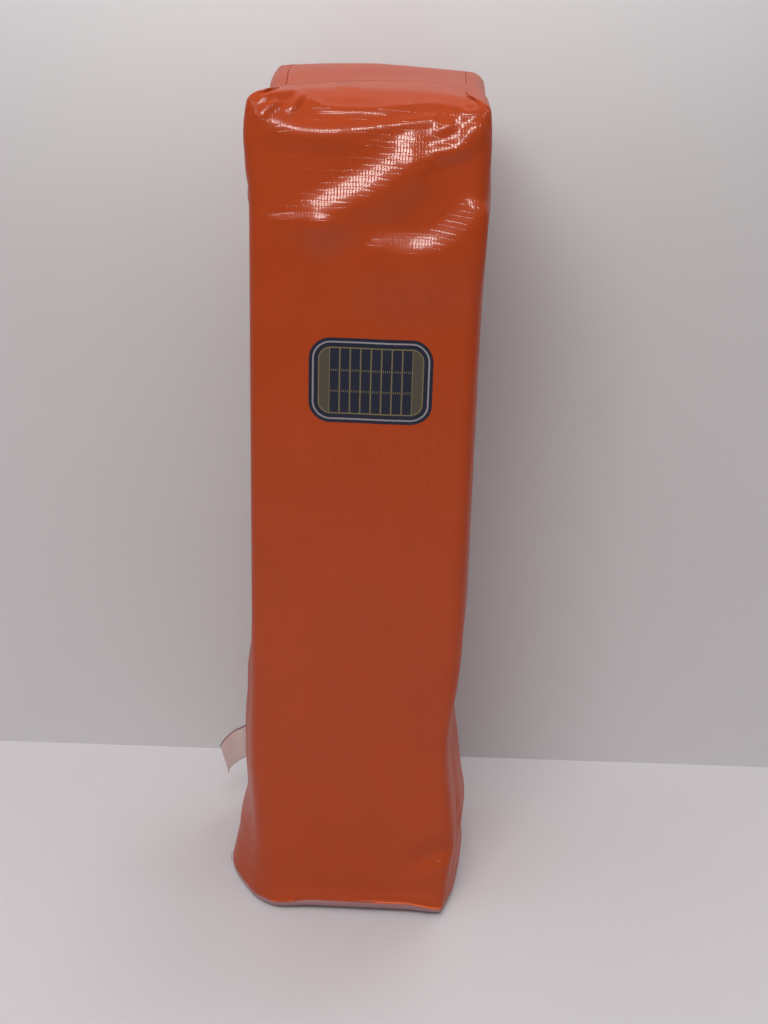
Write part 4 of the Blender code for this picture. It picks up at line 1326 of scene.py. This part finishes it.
def stitched(path, dip, closed):
    """A path with a point every few tenths of a millimetre that sinks along dip at each stitch's ends."""
    run = lengths_along(path, axis=0)
    stitches = max(int(round(run[-1] / STITCH)), 1)
    share = np.linspace(0, 1, stitches * STITCH_POINTS + 1)
    share = share[:-1] if closed else share
    where = np.interp(share * run[-1], run, np.arange(len(run)))
    sink = 1 - np.abs(np.sin(math.pi * share * stitches)) ** 0.5
    side = resampled(dip, where)
    return resampled(path, where) + STITCH_DIP * sink[:, None] * side, side


def seam_thread(name, path, dip, node, closed=True, finish=None, slot="orange_thread"):
    """One seam's thread, settled with the cover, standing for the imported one."""
    line, side = stitched(path, np.broadcast_to(dip, path.shape), closed)
    points, faces, flat = tube_mesh(settle(line), side, THREAD_RADIUS, closed)
    on_cover(mesh_piece(name, points, faces, flat, finish or ORANGE_THREAD), node)


ORANGE_THREAD = thread_finish("orange_thread", (0.70, 0.30, 0.15))
WHITE_THREAD = thread_finish("white_thread", (0.86, 0.85, 0.82))
OUTWARDS = np.concatenate([COLUMN_OUT, np.zeros((len(COLUMN_OUT), 1))], axis=-1)
beside = SHEET + THREAD_RADIUS + THREAD_GAP
top_line = opening(TOP_PLACE, SEAM_GAP + beside, EDGE_HEIGHT - ALLOWANCE / 2)[0]
base_line = opening(BASE_PLACE, BASE_SEAM_GAP + beside, ALLOWANCE / 2)[0]
flange_line = wall_rows(FLANGE_INSET, FLANGE_HEIGHT + FLANGE_ABOVE)[0]
seam_thread("top_thread", top_line, OUTWARDS, "top_seam_thread")
seam_thread("base_thread", base_line, OUTWARDS, "base_seam_thread")
white = {"finish": WHITE_THREAD, "slot": "white_thread"}
seam_thread("pouch_thread", flange_line, (0.0, 0.0, -1.0), "pouch_seam_thread", **white)
half = math.sqrt(0.5)
diagonal, aside = np.array([half, -half, 0]), np.array([half, half, 0])
corner = EDGE_RADIUS * (1 - half)
start = np.array([-HALF_WIDTH + corner, HALF_DEPTH - corner, 0]) + CORNER_IN * diagonal + CORNER_ASIDE * aside
heights = np.linspace(CLOSING_LOW, CLOSING_HIGH, CLOSING_POINTS)
closing_line = start + heights[:, None] * np.array([0, 0, 1])
seam_thread("closing_thread", closing_line, -aside, "side_seam_thread", closed=False)
print("threads made")

# %% [markdown]
# ## The ribbon label
#
# A short satin ribbon is caught in the closing seam, low on the left. It comes out sideways, curls
# towards the front and leans: its top edge is drawn forwards. Two routes of equal length, one for
# each edge, are carried into one sheet by mixing between them, and the free end is cut square. It
# is thin and stiff enough to stand on its own. Light passes through it, so its colour is mostly
# scattered inside. Its woven upper edge stands a little proud and is painted darker, a painted shade.

# %% Ribbon label
RIBBON_WIDTH, RIBBON_FOOT, RIBBON_SHEET = mm(24, 36, 0.35)
LOWER_ROUTE = [
    (0, 0), (-3.2, 0.5), (-7.4, -2.8), (-11.9, -8.3), (-16.2, -13.6), (-20.6, -18.6), (-24.0, -26.2),
    (-24.6, -33.6)
]
UPPER_ROUTE = [
    (0, 0), (-3.2, 0.5), (-7.6, -2.9), (-12.4, -8.8), (-17.2, -14.6), (-22.2, -20.4), (-26.8, -29.0),
    (-28.6, -38.0)
]
UPPER_SAG = [(0,), (0,), (0.1,), (0.4,), (0.8,), (1.1,), (1.3,), (1.4,)]
RIBBON_ACROSS, RIBBON_ALONG = 22, 12
RIBBON_ROOT = np.array([-55.995, 55.312]) * MM
RIBBON_RIPPLE, RIPPLE_PITCH, RIPPLE_LEAN, RIPPLE_START = 0.25 * MM, 17 * MM, 2.2, mm(5, 18)
SATIN, SATIN_YARN, SATIN_EDGE_SHADE = (1.0, 0.91, 0.89), (0.95, 0.84, 0.82), (0.36, 0.22, 0.24)
SATIN_LIGHT = {"Subsurface_Weight": 1.0, "Subsurface_Scale": 2.5 * MM, "Subsurface_Radius": (1.0, 0.85, 0.8)}
SATIN_YARNS, SATIN_FLOATS, SATIN_RELIEF = mm(0.45, 1.3, 0.03)
EDGE_START, EDGE_FULL, EDGE_RELIEF = RIBBON_WIDTH - 1.3 * MM, RIBBON_WIDTH - 0.6 * MM, 0.12 * MM


def satin_finish():
    """White satin ribbon: fine lengthwise yarns, a raised woven upper edge painted dark as a painted shade, a
    soft sheen.
    """
    made = Finish("satin_ribbon", SATIN, 0.45, Sheen_Weight=1.0, **SATIN_LIGHT)
    parts = made.parts(made.place("cloth"))
    yarns = made.ramp(made.wave(parts[1], SATIN_YARNS), -1.0, 1.0)
    floats = made.ramp(made.wave(parts[0], SATIN_FLOATS), -1.0, 1.0)
    edge = made.ramp(parts[1], EDGE_START, EDGE_FULL)
    tone = made.mix(made.times(yarns, 0.3), SATIN, SATIN_YARN)
    # Painted shade: the upper edge is darkened as if in the shadow of its fold.
    made.join(made.mix(edge, tone, SATIN_EDGE_SHADE), "Base Color")
    woven_part = made.bump(made.math("ADD", yarns, made.times(floats, 0.5)), SATIN_RELIEF)
    made.join(made.bump(edge, EDGE_RELIEF, under=woven_part), "Normal")
    return made.material


def ribbon_grid():
    """The ribbon's middle surface: a mix of its two edge routes, with a slow ripple along it."""
    routes = (np.asarray(route) * MM for route in (LOWER_ROUTE, UPPER_ROUTE, UPPER_SAG))
    lower, upper, sag = (smooth_line(route, RIBBON_ALONG) for route in routes)
    share = np.linspace(0, 1, RIBBON_ACROSS + 1)[:, None]
    flat = lower[None] * (1 - share[..., None]) + upper[None] * share[..., None] + RIBBON_ROOT
    height = RIBBON_FOOT + share * (RIBBON_WIDTH - sag[None, :, 0])
    grid = np.concatenate([flat, height[..., None]], axis=-1)
    run = lengths_along(grid, axis=1)
    wave = np.sin(2 * math.pi * run / RIPPLE_PITCH + RIPPLE_LEAN * share)
    ripple = RIBBON_RIPPLE * wave * step(run, *RIPPLE_START)
    return grid + ripple[..., None] * outward(grid), run, share * RIBBON_WIDTH * np.ones_like(run)


ribbon_points, ribbon_run, ribbon_up = ribbon_grid()
ribbon = grid_piece("ribbon_label", ribbon_points, np.stack([ribbon_run, ribbon_up], axis=-1), satin_finish())
thicken(ribbon, RIBBON_SHEET, offset=0)
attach(ribbon, "label")
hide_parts("care_label")

# %% [markdown]
# ## Frayed yarns
#
# Along the lower left edge the coated cloth was cut and never bound, so a few yarns of the scrim
# have worked loose. Each is a hair-thin tube that leaves the surface, bends and comes back or ends
# free. Their roots are points of the finished sleeve, so they sit on it exactly.

# %% Frayed yarns
FRAY_HEIGHT, FRAY_COLUMN, FRAY_RADIUS, FRAY_TIP, FRAY_ROOT = 5 * MM, 20, 0.16 * MM, 0.7, 0.3 * MM
FRAY_STEPS, FRAY_SIDES, FRAY_WAVE, FRAY_SIDE = 14, 6, 0.5, (0.3, 0.2, 1.0)
# Place along the left wall, reach outwards, drift along the wall, rise, and whether it comes back
FRAYS = [
    (-15, 1.4, 11.0, 0.0, True),
    (-21, 1.6, 1.2, 0.8, False),
    (-24, 1.2, -1.0, 0.4, False),
    (-29, 1.1, 1.5, -0.4, False),
    (-37, 1.7, 0.8, 0.5, False),
    (-40, 1.0, -1.2, 0.2, True),
]


def fray_path(place, reach, drift, rise, back):
    """A bent yarn: out along the wall's normal by a half sine or a rising curve, drifting along the wall."""
    low_rows = surface[FIRST_WALL : FIRST_WALL + LOW_ROWS, FRAY_COLUMN, 2]
    row = FIRST_WALL + int(np.argmin(np.abs(low_rows - FRAY_HEIGHT)))
    on_left = surface[row, :, 0] < -HALF_WIDTH / 2
    column = int(np.argmin(np.abs(surface[row, :, 1] - place * MM) + np.where(on_left, 0, 1)))
    share = np.linspace(0, 1, FRAY_STEPS)[:, None]
    out = np.sin(math.pi * share) if back else share**0.8
    normal = outward(surface)[row, column]
    level = np.array([normal[0], normal[1], 0]) / np.hypot(normal[0], normal[1])
    side = np.array([-level[1], level[0], 0])
    start = surface[row, column] - FRAY_ROOT * normal
    height = rise * np.sin(math.pi / 2 * share) + FRAY_WAVE * np.sin(2 * math.pi * share)
    return start + (level * reach * out + side * drift * share + np.array([0, 0, 1]) * height) * MM


radius = np.linspace(FRAY_RADIUS, FRAY_RADIUS * FRAY_TIP, FRAY_STEPS)
side = np.tile(FRAY_SIDE, (FRAY_STEPS, 1))
tubes = [tube_mesh(fray_path(*sizes), side, radius, False, sides=FRAY_SIDES) for sizes in FRAYS]
points, flat = (np.concatenate([tube[part] for tube in tubes]) for part in (0, 2))
faces = [
    [number * FRAY_STEPS * FRAY_SIDES + corner for corner in face]
    for number, tube in enumerate(tubes)
    for face in tube[1]
]
frays = mesh_piece("frayed_yarns", points, faces, flat, thread_finish("pale_yarn", (0.80, 0.62, 0.55)))
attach(frays, "cover")
print(len(FRAYS), "frayed yarns")
